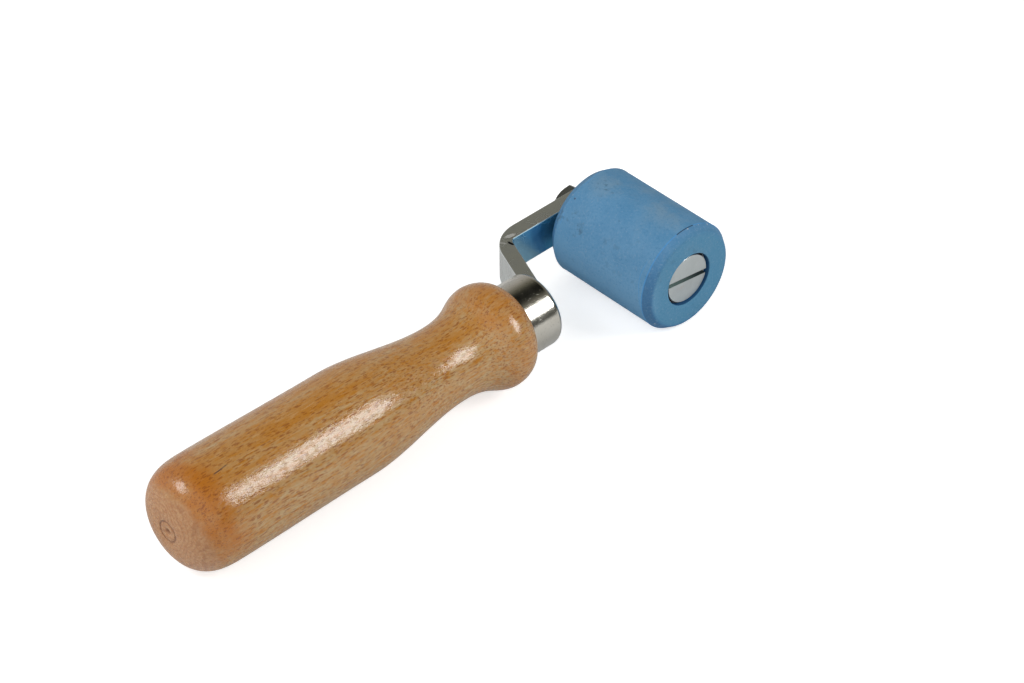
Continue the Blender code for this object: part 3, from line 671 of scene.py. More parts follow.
def dark_soak(tree, colour, parts, along):
    """Deep orange where short grain drinks the lacquer: round the butt's shoulder and on the bulge."""
    butt = times(tree, step_of(tree, along, 1.0 * MM, 3.0 * MM), step_of(tree, along, 19.0 * MM, 8.0 * MM))
    top = step_of(tree, parts[2], -13.0 * MM, 1.0 * MM)
    bulge_place = plus(tree, parts[1], -(wood_shoulder - 8.0 * MM))
    bulge = step_of(tree, absolute(tree, bulge_place), 8.5 * MM, 2.0 * MM)
    cloud = use_group(tree, "Mottle", place(tree, handle_line), scale=110.0, low=0.26, high=0.60,
                      detail=4.0)["Mask"]
    soak = plus(tree, times(tree, butt, top), times(tree, bulge, 0.35))
    soak = times(tree, times(tree, soak, cloud), 0.85)
    return blend(tree, soak, colour, SOAKED_WOOD)


def ring_stain(tree, parts, along, sizes):
    """Brown line in the ring and dimple of the lathe's centre."""
    radius = ring_radius(tree, parts[0], parts[2])
    off = absolute(tree, minus(tree, radius, sizes.centre_ring))
    ring = times(tree, step_of(tree, off, 0.45 * MM, 0.10 * MM), 0.62)
    dimple = times(tree, step_of(tree, radius, 1.2 * MM, 0.5 * MM), 0.5)
    on_butt = step_of(tree, along, 1.6 * MM, 1.0 * MM)
    return times(tree, larger(tree, ring, dimple), on_butt)


def scratch_mark(tree, spot):
    """One thin dark scratch on top of the grip, nearly along the grain."""
    middle = (4.65 * MM, butt_end - handle_line.y + 15.1 * MM, 15.3 * MM)
    shift = add(tree, "ShaderNodeMapping", {"Vector": spot,
                                            "Location": [-value for value in middle]}).outputs[0]
    local = add(tree, "ShaderNodeMapping", {"Vector": shift, "Rotation": (0.0, 0.0, math.radians(-6.0))})
    parts = split(tree, local.outputs[0])
    near = step_of(tree, absolute(tree, parts[0]), 0.20 * MM, 0.06 * MM)
    length = step_of(tree, absolute(tree, parts[1]), 3.1 * MM, 1.6 * MM)
    top = step_of(tree, parts[2], -4.0 * MM, -2.0 * MM)
    return times(tree, times(tree, near, length), times(tree, top, 0.8))


def metal_material(name, colour, middle, low, high, scratch=0.5, grain=900.0, marks=0.0, tint=0.85,
                   bumpiness=0.05):
    """Plated or turned steel: cloudy roughness, fine grain, hairlines and, on turned pieces, tool marks."""
    material, tree, shader = new_material(name)
    spot = place(tree, middle)
    clouds = use_group(tree, "Mottle", spot, scale=260.0, low=0.30, high=0.70, detail=4.0)["Mask"]
    fine = noise(tree, spot, grain, 3.0, 0.7)
    hairs = use_group(tree, "Hairlines", spot, scale=110.0, width=0.003, share=scratch)["Mask"]
    dull = tuple(value * tint for value in colour)
    base = blend(tree, times(tree, clouds, 0.6), colour, dull)
    base = blend(tree, times(tree, step_of(tree, fine, 0.56, 0.80), 0.35), base, dull)
    tree.links.new(base, shader.inputs["Base Color"])
    mixed = plus(tree, times(tree, clouds, 0.6), times(tree, fine, 0.4))
    rough = add(tree, "ShaderNodeMapRange", {"Value": mixed, "To Min": low, "To Max": high}).outputs[0]
    rough = plus(tree, rough, times(tree, hairs, 0.12))
    tree.links.new(rough, shader.inputs["Roughness"])
    height = minus(tree, fine, times(tree, hairs, 0.8))
    if marks > 0:
        tool = use_group(tree, "Tool marks", spot, pitch=0.00022, depth=marks)["Height"]
        height = plus(tree, height, tool)
    bump(tree, shader, height, bumpiness, 0.00005)
    set_finish(shader, metallic=1.0)
    return material


def screw_material(colours, sizes):
    """Turned steel with cloudy plating and a dull slot, painted with shade that darkens towards its far end.
    """
    material = metal_material("turned_steel", tuple(colours.screw), axle, 0.30, 0.42, 0.40, 1500.0, 0.35,
                              0.90, 0.05)
    tree = material.node_tree
    shader = tree.nodes["Principled BSDF"]
    spot = place(tree, axle, (-sizes.slot_turn, 0.0, 0.0))
    parts = split(tree, spot)
    face = span("axle_screw", X)[1] - axle.x
    beside = absolute(tree, parts[2])
    slot = times(tree, step_of(tree, beside, sizes.slot_width / 2 + 0.08 * MM,
                               sizes.slot_width / 2 + 0.02 * MM),
                 step_of(tree, parts[0], face - 0.02 * MM, face - 0.10 * MM))
    in_slot = times(tree, slot, step_of(tree, parts[0], face - 2.2 * MM, face - 2.0 * MM))
    # Painted shade in the slot: grey-teal at its near end, near black at its far end.
    far = step_of(tree, parts[1], -7.0 * MM, 8.0 * MM)
    shade = blend(tree, far, SLOT_PAINTED_SHADE_NEAR, SLOT_PAINTED_SHADE_FAR)
    stain = use_group(tree, "Mottle", spot, scale=330.0, low=0.62, high=0.76, detail=3.0)["Mask"]
    base = shader.inputs["Base Color"].links[0].from_socket
    base = blend(tree, times(tree, stain, 0.35), base, SCREW_STAIN)
    tree.links.new(blend(tree, in_slot, base, shade), shader.inputs["Base Color"])
    rough = shader.inputs["Roughness"].links[0].from_socket
    tree.links.new(plus(tree, rough, times(tree, in_slot, 0.25)), shader.inputs["Roughness"])
    tree.links.new(minus(tree, 1.0, times(tree, in_slot, 0.8)), shader.inputs["Metallic"])
    return material


def lift(tree, shader, height):
    """Adds a height, in the bump's own units, to a metal's surface."""
    raised = shader.inputs["Normal"].links[0].from_node.inputs["Height"]
    tree.links.new(plus(tree, raised.links[0].from_socket, height), raised)


def ferrule_material(colours, sizes):
    """Grainy nickel plate with a thin dark line painted near the rounded edge as a reflection of the blue
    roller and the dark room, and a dark band beside the wood of dirt and painted shade.
    """
    material = metal_material("nickel_plate", tuple(colours.nickel), handle_line, 0.12, 0.23, 0.30, 2600.0,
                              tint=0.90, bumpiness=0.28)
    tree = material.node_tree
    shader = tree.nodes["Principled BSDF"]
    spot = place(tree, handle_line)
    along = split(tree, spot)[1]
    # Beside the wood: dirt and painted shade where the ferrule meets the wood.
    rough = times(tree, noise(tree, spot, 900.0, 2.0), 0.3 * MM)
    wood_side = step_of(tree, minus(tree, along, rough), ferrule_back + 0.35 * MM, ferrule_back)
    # Near the rounded front edge: a painted reflection of the blue roller and the dark room.
    rim = mould_line(tree, along, ferrule_mouth - 0.55 * sizes.ferrule_edge, 0.22 * MM)
    painted_dark_and_dirt = larger(tree, times(tree, wood_side, 0.80), times(tree, rim, 0.55))
    base = shader.inputs["Base Color"].links[0].from_socket
    grime = use_group(tree, "Specks", spot, scale=1500.0, size=0.42, share=0.30)["Mask"]
    base = blend(tree, times(tree, grime, 0.25), base, GRIME)
    grit = use_group(tree, "Specks", spot, scale=1300.0, size=0.40, share=0.40)["Mask"]
    lift(tree, shader, times(tree, grit, 1.4))
    tree.links.new(blend(tree, painted_dark_and_dirt, base, PAINTED_DARK_AND_DIRT), shader.inputs["Base Color"])
    return material


def bar_material(colours, sizes):
    """Zinc plate with painted light on the elbow, a pit painted dark as shade and two creases painted bright
    as glints, and a painted blue reflection of the roller on the face beside it.
    """
    material = metal_material("zinc_plate", tuple(colours.zinc), handle_line, 0.16, 0.30, 0.45, 1600.0,
                              tint=0.84, bumpiness=0.10)
    tree = material.node_tree
    shader = tree.nodes["Principled BSDF"]
    spot = place(tree, (0.0, 0.0, axle.z))
    top = step_of(tree, split(tree, spot)[2], bar_half_width - 0.8 * MM, bar_half_width - 0.3 * MM)
    # The elbow's pit: dented by the bump below, and painted near black as shade in it.
    pit = times(tree, oval_mask(tree, (-15.7 * MM, 47.45 * MM), 8.0, (1.45 * MM, 0.62 * MM)), top)
    # Two creases on the elbow: raised by the bump below, and painted near white as glints.
    painted_glint = oval_mask(tree, (-18.35 * MM, 49.6 * MM), 79.0, (2.2 * MM, 0.80 * MM))
    short = oval_mask(tree, (-17.6 * MM, 45.6 * MM), 30.0, (1.9 * MM, 0.55 * MM))
    painted_glint = times(tree, larger(tree, painted_glint, times(tree, short, 0.6)), top)
    base = shader.inputs["Base Color"].links[0].from_socket
    base = blend(tree, pit, base, PAINTED_PIT_SHADE)
    base = blend(tree, painted_glint, base, PAINTED_GLINT)
    parts = split(tree, spot)
    face = span("bracket", X)[0] + sizes.bar_thickness
    # The face beside the roller is tinted blue: a painted reflection of the roller.
    painted_roller_reflection = times(tree, step_of(tree, parts[0], face - 0.10 * MM, face - 0.02 * MM),
                 step_of(tree, parts[1], 48.0 * MM, 50.0 * MM))
    worn_edge = times(tree, step_of(tree, parts[0], face - 0.35 * MM, face - 0.15 * MM),
                      step_of(tree, parts[2], bar_half_width - 0.35 * MM, bar_half_width - 0.15 * MM))
    worn_edge = times(tree, worn_edge, step_of(tree, parts[1], 49.0 * MM, 50.0 * MM))
    base = blend(tree, times(tree, painted_roller_reflection, 0.90), base, PAINTED_ROLLER_REFLECTION)
    tree.links.new(base, shader.inputs["Base Color"])
    rough = shader.inputs["Roughness"].links[0].from_socket
    rough = plus(tree, rough, times(tree, plus(tree, pit, worn_edge), 0.35))
    tree.links.new(plus(tree, rough, times(tree, painted_glint, 0.28)), shader.inputs["Roughness"])
    lift(tree, shader, minus(tree, times(tree, painted_glint, 9.0), times(tree, pit, 12.0)))
    return material


def oval_mask(tree, middle, turn, reach):
    """1 inside a ragged oval about a place in the XY plane, its long side turned by degrees off +X."""
    coordinates = add(tree, "ShaderNodeTexCoord").outputs["Object"]
    shift = add(tree, "ShaderNodeMapping", {"Vector": coordinates,
                                            "Location": (-middle[0], -middle[1], 0.0)})
    along = add(tree, "ShaderNodeMapping", {"Vector": shift.outputs[0],
                                            "Rotation": (0.0, 0.0, math.radians(-turn))})
    local = stretch(tree, along.outputs[0], (1 / reach[0], 1 / reach[1], 0.0))
    away = add(tree, "ShaderNodeVectorMath", {0: local}, operation="LENGTH").outputs["Value"]
    away = plus(tree, away, times(tree, noise(tree, coordinates, 1500.0, 2.0), 0.5))
    return step_of(tree, away, 1.25, 0.85)


def floor_material(colours):
    """Plain pale studio floor, lifted to white where the camera sees it."""
    material, tree, shader = new_material("studio_floor")
    spot = place(tree, (0.0, 0.0, 0.0))
    cloud = use_group(tree, "Mottle", spot, scale=3.0, low=0.2, high=0.8, detail=2.0)["Mask"]
    shade = tuple(value * 0.985 for value in colours.floor)
    tree.links.new(blend(tree, cloud, colours.floor, shade), shader.inputs["Base Color"])
    seen = add(tree, "ShaderNodeLightPath").outputs["Is Camera Ray"]
    tree.links.new(blend(tree, seen, (0.0, 0.0, 0.0), FLOOR_GLOW), shader.inputs["Emission Color"])
    set_finish(shader, roughness=0.8, Specular_IOR_Level=0.2, Emission_Strength=1.0)
    return material


# ---------------------------------------------------------------- operators
def sizes_and_colours(context):
    """The two groups of values that the operators read."""
    return context.scene.brayer_sizes, context.scene.brayer_colours


class BRAYER_OT_finishes(bpy.types.Operator):
    """Build the shader node groups and every material"""

    bl_idname = "brayer.finishes"
    bl_label = "Build finishes"

    def execute(self, context):
        sizes, colours = sizes_and_colours(context)
        make_mottle_group()
        make_speck_group()
        make_scratch_group()
        make_tool_mark_group()
        rubber_material(colours, sizes)
        wood_material(colours, sizes)
        ferrule_material(colours, sizes)
        bar_material(colours, sizes)
        metal_material("nut_steel", tuple(colours.nut), axle, 0.18, 0.32, 0.40, 1600.0, tint=0.80,
                       bumpiness=0.10)
        screw_material(colours, sizes)
        metal_material("bearing_steel", tuple(colours.bearing), axle, 0.10, 0.22, 0.30, 1400.0, 0.3, 0.9,
                       0.03)
        metal_material("pressed_cage", tuple(colours.cage), axle, 0.28, 0.42, 0.40, 1000.0, 0.0, 0.8, 0.06)
        metal_material("core_tube", tuple(colours.bearing), axle, 0.35, 0.50, 0.50, 700.0, 1.0, 0.8, 0.10)
        floor_material(colours)
        return {"FINISHED"}


class BRAYER_OT_tyre(bpy.types.Operator):
    """Turn the rubber tyre with its eased edges and mould lines"""

    bl_idname = "brayer.tyre"
    bl_label = "Build rubber tyre"

    def execute(self, context):
        sizes, _ = sizes_and_colours(context)
        middle = (roller_front + roller_rear) / 2
        half = (roller_front - roller_rear) / 2
        tread = tread_radius - sizes.mould_line
        bore = core_radius + GAP
        pocket = span("roller_core", X)[1] - middle + GAP
        mouth = half - 0.4 * MM
        edge = half - sizes.edge_length
        half_outline = [(hub_hole_radius, pocket, 0.0), (hub_hole_radius, mouth, 0.0),
                        (hub_hole_radius, half, 0.25 * MM), (tread_radius - sizes.edge_drop * 0.92, half,
                                                             0.9 * MM), (tread_radius, edge, 0.04 * MM),
                        (tread, edge - 0.22 * MM, 0.25 * MM), (tread, edge - 1.2 * MM, 0.0),
                        (tread, edge * 0.5, 0.0)]
        corners = half_outline + [(radius, -distance, rounding) for radius, distance,
                                  rounding in reversed(half_outline)]
        corners += [(bore, -pocket, 0.0), (bore, pocket, 0.0)]
        outline = [(radius, distance + middle) for radius, distance in fillet(corners, closed=True)]
        tyre = turned("rubber_tyre", outline, steps=sizes.round_steps)
        settle(tyre, "roller", "rubber", bpy.data.materials["blue_rubber"], "roller_tyre")
        return {"FINISHED"}


class BRAYER_OT_core(bpy.types.Operator):
    """Turn the core tube with its two bearing seats"""

    bl_idname = "brayer.core"
    bl_label = "Build core tube"

    def execute(self, context):
        middle = (roller_front + roller_rear) / 2
        end = span("roller_core", X)[1] - middle
        bore, _ = radial_range("roller_core")
        seat = radial_range("front_bearing_outer_ring")[1] + GAP
        floor = span("front_bearing_outer_ring", X)[0] - GAP - middle
        half_outline = [(bore, 0.0, 0.0), (bore, floor, 0.15 * MM), (seat, floor, 0.10 * MM),
                        (seat, end, 0.20 * MM), (core_radius, end, 0.20 * MM), (core_radius, 0.0, 0.0)]
        corners = half_outline + [(radius, -distance, rounding) for radius, distance,
                                  rounding in reversed(half_outline[1:-1])]
        outline = [(radius, distance + middle) for radius,
                   distance in fillet(corners, closed=True, steps=3)]
        core = turned("core_tube", outline)
        settle(core, "roller", "core_tube", bpy.data.materials["core_tube"], "roller_core")
        return {"FINISHED"}


def pitch_radius():
    """Radius of the circle that the balls run on."""
    inner, _ = radial_range("front_bearing_inner_ring")
    _, outer = radial_range("front_bearing_outer_ring")
    return (inner + outer) / 2


def raceway(side, land, groove, steps=14):
    """A groove's (radius, distance) points from low edge to high edge; side is 1 on the outer ring."""
    pitch = pitch_radius()
    half_angle = math.acos(abs(land - pitch) / groove)
    points = []
    for step in range(steps + 1):
        turn = half_angle * (2 * step / steps - 1)
        points.append((pitch + side * groove * math.cos(turn), groove * math.sin(turn)))
    return points


class BRAYER_OT_bearings(bpy.types.Operator):
    """Turn the rings and pressed shields of both ball bearings"""

    bl_idname = "brayer.bearings"
    bl_label = "Build bearing rings and shields"

    def execute(self, context):
        for end in ("front", "rear"):
            self.rings(end + "_bearing")
            for side in ("outboard", "inboard"):
                self.shield(end + "_bearing", side)
        return {"FINISHED"}

    def rings(self, prefix):
        """The outer ring, which turns with the roller, and the inner ring, which stands still."""
        steel = bpy.data.materials["bearing_steel"]
        low, high = span(prefix + "_outer_ring", X)
        middle = (low + high) / 2
        half = (high - low) / 2
        outer = radial_range(prefix + "_outer_ring")[1]
        inner_land = radial_range(prefix + "_inner_ring")[1]
        bore = radial_range(prefix + "_inner_ring")[0]
        land = 2 * pitch_radius() - inner_land
        groove = radial_range(prefix + "_ball_1")[1] - pitch_radius() + GAP
        step_radius = radial_range(prefix + "_inboard_shield")[1] + GAP
        step_floor = half - 0.9 * MM
        corners = [(land, -step_floor, 0.0), (step_radius, -step_floor, 0.0),
                   (step_radius, -half, 0.08 * MM), (outer, -half, 0.3 * MM), (outer, half, 0.3 * MM),
                   (step_radius, half, 0.08 * MM), (step_radius, step_floor, 0.0), (land, step_floor, 0.0)]
        outline = fillet(corners, steps=4) + list(reversed(raceway(1, land, groove)))
        outline = [(radius, distance + middle) for radius, distance in outline]
        ring = turned(prefix + "_race_outer", outline)
        settle(ring, "roller", "bearing_steel", steel, prefix + "_outer_ring")
        corners = [(inner_land, half, 0.0), (inner_land - 0.05 * MM, half, 0.05 * MM),
                   (bore, half, 0.25 * MM), (bore, -half, 0.25 * MM),
                   (inner_land - 0.05 * MM, -half, 0.05 * MM), (inner_land, -half, 0.0)]
        outline = fillet(corners, steps=4) + raceway(-1, inner_land, groove)
        outline = [(radius, distance + middle) for radius, distance in outline]
        ring = turned(prefix + "_race_inner", outline)
        settle(ring, "frame", "bearing_steel", steel, prefix + "_inner_ring")

    def shield(self, prefix, side):
        """A pressed shield with a shallow step and a rolled inner edge."""
        node = prefix + "_" + side + "_shield"
        low, high = span(node, X)
        inner, outer = radial_range(node)
        step = (inner + outer) / 2
        depth = (high - low) * 0.45
        towards_head = (low + high) / 2 > sum(span(prefix + "_outer_ring", X)) / 2
        face, back = (high, low) if towards_head else (low, high)
        sign = 1 if face > back else -1
        corners = [(inner, back, 0.05 * MM), (inner, face - sign * depth, 0.05 * MM),
                   (step - 0.15 * MM, face - sign * depth, 0.08 * MM), (step + 0.15 * MM, face, 0.08 * MM),
                   (outer, face, 0.10 * MM), (outer, back, 0.05 * MM)]
        shield = turned(prefix + "_" + side + "_cover", fillet(corners, closed=True, steps=3))
        settle(shield, "roller", "bearing_steel", bpy.data.materials["bearing_steel"], node)


class BRAYER_OT_balls(bpy.types.Operator):
    """Build the ball cages and the balls in them"""

    bl_idname = "brayer.balls"
    bl_label = "Build cages and balls"

    def execute(self, context):
        for end in ("front", "rear"):
            self.cage(end)
            for index in range(1, BALLS_PER_BEARING + 1):
                self.ball(end, index)
        return {"FINISHED"}

    def cage(self, end):
        """A ring with a round pocket for each ball."""
        node = end + "_bearing_cage"
        low, high = span(node, X)
        inner, outer = radial_range(node)
        corners = [(inner, low, 0.08 * MM), (outer, low, 0.08 * MM), (outer, high, 0.08 * MM),
                   (inner, high, 0.08 * MM)]
        cage = turned(end + "_ball_cage", fillet(corners, closed=True, steps=2), steps=90)
        drills = bmesh.new()
        ball_radius = (span(end + "_bearing_ball_1", X)[1] - span(end + "_bearing_ball_1", X)[0]) / 2
        middle = (low + high) / 2
        for index in range(1, BALLS_PER_BEARING + 1):
            low_corner, high_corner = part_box(end + "_bearing_ball_" + str(index))
            centre = (Vector(low_corner) + Vector(high_corner)) / 2
            outward = Vector((0.0, centre.y - axle.y, centre.z - axle.z)).normalized()
            turn = outward.to_track_quat("Z", "X").to_matrix().to_4x4()
            drill = bmesh.ops.create_cone(drills, cap_ends=True, segments=28,
                                          radius1=ball_radius + 0.2 * MM, radius2=ball_radius + 0.2 * MM,
                                          depth=3.0 * MM)
            centre = Vector((middle, axle.y, axle.z)) + outward * pitch_radius()
            bmesh.ops.transform(drills, matrix=Matrix.Translation(centre) @ turn, verts=drill["verts"])
        carve(cage, finish_shape(end + "_cage_drills", drills))
        settle(cage, end + "_cage", "cage_steel", bpy.data.materials["pressed_cage"], node)

    def ball(self, end, index):
        """One ball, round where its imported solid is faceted."""
        node = end + "_bearing_ball_" + str(index)
        low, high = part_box(node)
        centre = (Vector(low) + Vector(high)) / 2
        shape = bmesh.new()
        bmesh.ops.create_icosphere(shape, subdivisions=4, radius=(high[0] - low[0]) / 2)
        bmesh.ops.translate(shape, verts=shape.verts, vec=centre)
        ball = finish_shape(end + "_ball_" + str(index), shape, 180.0)
        settle(ball, end + "_cage", "bearing_steel", bpy.data.materials["bearing_steel"], node)


class BRAYER_OT_axle(bpy.types.Operator):
    """Turn the slotted axle screw, its washer, sleeve and bush, and cut the nut"""

    bl_idname = "brayer.axle"
    bl_label = "Build axle screw, collars and nut"

    def execute(self, context):
        sizes, _ = sizes_and_colours(context)
        self.screw(sizes)
        for node, name in (("head_washer", "washer_under_head"),
                           ("bearing_sleeve", "sleeve_between_bearings"), ("rear_bush", "bush_behind_roller")):
            self.collar(node, name)
        self.nut(sizes)
        return {"FINISHED"}

    def screw(self, sizes):
        """Head, plain shoulder, runout and thread, with a slot across the head."""
        end, face = span("axle_screw", X)
        _, head = radial_range("axle_screw")
        shoulder = radial_range("front_bearing_inner_ring")[0] - GAP
        underside = span("head_washer", X)[1] + GAP
        bar_face = span("rear_bush", X)[0]
        thread = thread_radius
        chamfer = sizes.head_chamfer
        corners = [(0.0, face, 0.0), (head - chamfer, face, 0.02 * MM), (head, face - chamfer, 0.02 * MM),
                   (head, underside, 0.15 * MM), (shoulder, underside, 0.1 * MM),
                   (shoulder, bar_face, 0.2 * MM), (thread - 0.5 * MM, bar_face, 0.1 * MM),
                   (thread - 0.5 * MM, bar_face - 0.8 * MM, 0.0)]
        outline = fillet(corners, steps=4)
        place_along = bar_face - 0.8 * MM
        while place_along - sizes.thread_pitch > end + 0.3 * MM:
            outline.append((thread, place_along - sizes.thread_pitch * 0.5))
            outline.append((thread - 0.45 * MM, place_along - sizes.thread_pitch))
            place_along -= sizes.thread_pitch
        outline += [(thread - 0.45 * MM, end), (0.0, end)]
        screw = turned("axle_screw_slotted", outline, steps=128, ring=False)
        slot = bmesh.new()
        bmesh.ops.create_cube(slot, size=1.0)
        bmesh.ops.scale(slot, vec=(2 * sizes.slot_depth, 3 * head, sizes.slot_width), verts=slot.verts)
        turn = Matrix.Rotation(sizes.slot_turn, 4, "X")
        bmesh.ops.transform(slot, matrix=Matrix.Translation((face, axle.y, axle.z)) @ turn,
                            verts=slot.verts)
        carve(screw, finish_shape("slot_cutter", slot))
        settle(screw, "frame", "screw_steel", bpy.data.materials["turned_steel"], "axle_screw")

    def collar(self, node, name):
        """A plain ring with broken edges."""
        low, high = span(node, X)
        inner, outer = radial_range(node)
        edge = min(0.25 * MM, (high - low) * 0.3)
        corners = [(inner, low, edge), (outer, low, edge), (outer, high, edge), (inner, high, edge)]
        collar = turned(name, fillet(corners, closed=True, steps=4))
        settle(collar, "frame", "screw_steel", bpy.data.materials["turned_steel"], node)

    def nut(self, sizes):
        """Thin hexagon nut: corners turned off, a countersink and a threaded bore."""
        low, high = span("axle_nut", X)
        corner = nut_corner
        flats = corner * 2 * math.cos(math.pi / 6)
        shape = bmesh.new()
        blank = bmesh.ops.create_cone(shape, cap_ends=True, segments=6, radius1=corner, radius2=corner,
                                      depth=high - low)
        turn = Matrix.Rotation(sizes.nut_turn, 4, "X") @ Matrix.Rotation(math.pi / 2, 4, "Y")
        middle = Matrix.Translation(((low + high) / 2, axle.y, axle.z))
        bmesh.ops.transform(shape, matrix=middle @ turn, verts=blank["verts"])
        nut = finish_shape("axle_nut_hexagon", shape)
        slope = 0.55 * MM
        outline = [(0.0, low - GAP), (flats / 2 - 0.5 * MM, low - GAP), (corner + 0.1 * MM, low + slope),
                   (corner + 0.1 * MM, high - slope), (flats / 2 - 0.5 * MM, high + GAP), (0.0, high + GAP)]
        carve(nut, turned("nut_barrel", outline, ring=False), "INTERSECT", 25.0)
        bore = thread_radius + GAP
        outline = [(0.0, low - GAP), (bore + 0.6 * MM, low - GAP), (bore, low + 0.4 * MM)]
        turns = 6
        for step in range(turns):
            base = low + 0.4 * MM + (high - low - 0.8 * MM) * step / turns
            rise = (high - low - 0.8 * MM) / turns
            outline += [(bore + 0.2 * MM, base + rise / 2), (bore, base + rise)]
        outline += [(bore + 0.6 * MM, high + GAP), (0.0, high + GAP)]
        carve(nut, turned("nut_drill", outline, steps=64, ring=False), "DIFFERENCE", 25.0)
        settle(nut, "frame", "zinc", bpy.data.materials["nut_steel"], "axle_nut")


def bar_places(sizes):
    """The bar's centre line: where the cranked leg meets the handle's line and the leg by the roller."""
    thickness = sizes.bar_thickness
    leg_x = span("bracket", X)[0] + thickness / 2
    bore = ferrule_radius - sizes.ferrule_wall
    corner = math.sqrt((bore - sizes.rim_clearance) ** 2 - bar_half_width ** 2)
    slope = 1 / math.tan(sizes.crank)
    root = ferrule_mouth - corner * slope + thickness / 2 / math.sin(sizes.crank)
    elbow = root + (handle_x - leg_x) * slope
    return leg_x, root, elbow


class BRAYER_OT_bracket(bpy.types.Operator):
    """Extrude and bend the flat bar from its tang to the rounded end about the axle"""

    bl_idname = "brayer.bracket"
    bl_label = "Build cranked bar"

    def execute(self, context):
        sizes, _ = sizes_and_colours(context)
        leg_x, _, _ = bar_places(sizes)
        shape = bmesh.new()
        low = axle.z - bar_half_width
        side = shape.faces.new([shape.verts.new((x, y, low)) for x, y in self.side_view(sizes)])
        made = bmesh.ops.extrude_face_region(shape, geom=[side])
        raised = [item for item in made["geom"] if isinstance(item, bmesh.types.BMVert)]
        bmesh.ops.translate(shape, verts=raised, vec=(0, 0, 2 * bar_half_width))
        bmesh.ops.recalc_face_normals(shape, faces=shape.faces)
        self.round_end(shape)
        self.ease_edges(shape, sizes.bar_edge)
        bar = finish_shape("cranked_bar", shape, 40.0)
        hole = bmesh.new()
        round_bar(hole, thread_radius + GAP, leg_x - sizes.bar_thickness, leg_x + sizes.bar_thickness)
        carve(bar, finish_shape("bar_hole", hole), sharp=40.0)
        even_normals(bar)
        settle(bar, "frame", "zinc", bpy.data.materials["zinc_plate"], "bracket")
        return {"FINISHED"}

    def side_view(self, sizes):
        """The bar's outline seen along Z: the roller's side from tang to end, then the far side back."""
        leg_x, root, elbow = bar_places(sizes)
        half = sizes.bar_thickness / 2
        tight, loose = sizes.bend_radius, sizes.bend_radius + sizes.bar_thickness
        reach = (tight + half) * math.tan(sizes.crank / 2)
        start = (handle_x, root - reach - sizes.tang_length)
        finish = (leg_x, axle.y + bar_half_width)
        root_middle = (handle_x - tight - half, root - reach)
        elbow_middle = (leg_x + tight + half, elbow + reach)
        shift = (sizes.elbow_radius - loose) / math.cos(sizes.crank / 2)
        thinned = (elbow_middle[0] + shift * math.cos(sizes.crank / 2),
                   elbow_middle[1] + shift * math.sin(sizes.crank / 2))
        near = [(start[0] + half, start[1])] + self.bend(root_middle, loose, sizes.crank, False)
        near += self.bend(elbow_middle, -tight, sizes.crank, True) + [(finish[0] + half, finish[1])]
        far = [(start[0] - half, start[1])] + self.bend(root_middle, tight, sizes.crank, False)
        far += self.bend(thinned, -sizes.elbow_radius, sizes.crank, True) + [(finish[0] - half, finish[1])]
        return near + far[::-1]

    def bend(self, middle, radius, crank, back, steps=14):
        """One side of a bend as points on an arc, turning off the handle's line or back to it."""
        turns = [crank * step / steps for step in range(steps + 1)]
        return [(middle[0] + radius * math.cos(turn),
                 middle[1] + radius * math.sin(turn)) for turn in (turns[::-1] if back else turns)]

    def round_end(self, shape):
        """Rounds the two corners of the end by the roller."""
        far = max(vert.co.y for vert in shape.verts)
        picked = [edge for edge in shape.edges if all(abs(vert.co.y - far) < 1e-6 for vert in edge.verts)
                  and abs(edge.verts[0].co.z - edge.verts[1].co.z) < 1e-6]
        bmesh.ops.bevel(shape, geom=picked, offset=bar_half_width * 0.97, segments=14, profile=0.5,
                        affect="EDGES", material=-1)

    def ease_edges(self, shape, size):
        """Rounds the long edges of the bar."""
        picked = [edge for edge in shape.edges if len(edge.link_faces) == 2
                  and edge.calc_face_angle(0.0) > math.radians(50)]
        bmesh.ops.bevel(shape, geom=picked, offset=size, segments=3, profile=0.5, affect="EDGES",
                        material=-1)


class BRAYER_OT_ferrule(bpy.types.Operator):
    """Turn the ferrule with its rounded front edge"""

    bl_idname = "brayer.ferrule"
    bl_label = "Build ferrule"

    def execute(self, context):
        sizes, _ = sizes_and_colours(context)
        bore = ferrule_radius - sizes.ferrule_wall
        outline = fillet([(bore, ferrule_mouth - 0.5 * MM, 0.0), (bore, ferrule_back, 0.1 * MM),
                          (ferrule_radius, ferrule_back, 0.5 * MM), (ferrule_radius, 0.0, 0.0)],
                         steps=8)[:-1]
        for step in range(QUARTER_STEPS + 1):
            turn = math.pi / 2 * step / QUARTER_STEPS
            outline.append((ferrule_radius - sizes.ferrule_wall * 0.95 * (1 - math.cos(turn)),
                            ferrule_mouth - sizes.ferrule_edge * (1 - math.sin(turn))))
        ferrule = turned("ferrule_sleeve", outline, "Y", handle_line, 160, sharp=50.0)
        settle(ferrule, "frame", "nickel", bpy.data.materials["nickel_plate"], "ferrule")
        return {"FINISHED"}


def smooth_run(first, last, steps):
    """A cubic run between two (distance, radius, slope) stations, without its first point."""
    start, start_radius, start_slope = first
    end, end_radius, end_slope = last
    length = end - start
    points = []
    for step in range(1, steps + 1):
        along = step / steps
        radius = (start_radius * (1 - 3 * along ** 2 + 2 * along ** 3)
                  + start_slope * length * (along - 2 * along ** 2 + along ** 3)
                  + end_radius * (3 * along ** 2 - 2 * along ** 3)
                  + end_slope * length * (along ** 3 - along ** 2))
        points.append((radius, start + length * along))
    return points


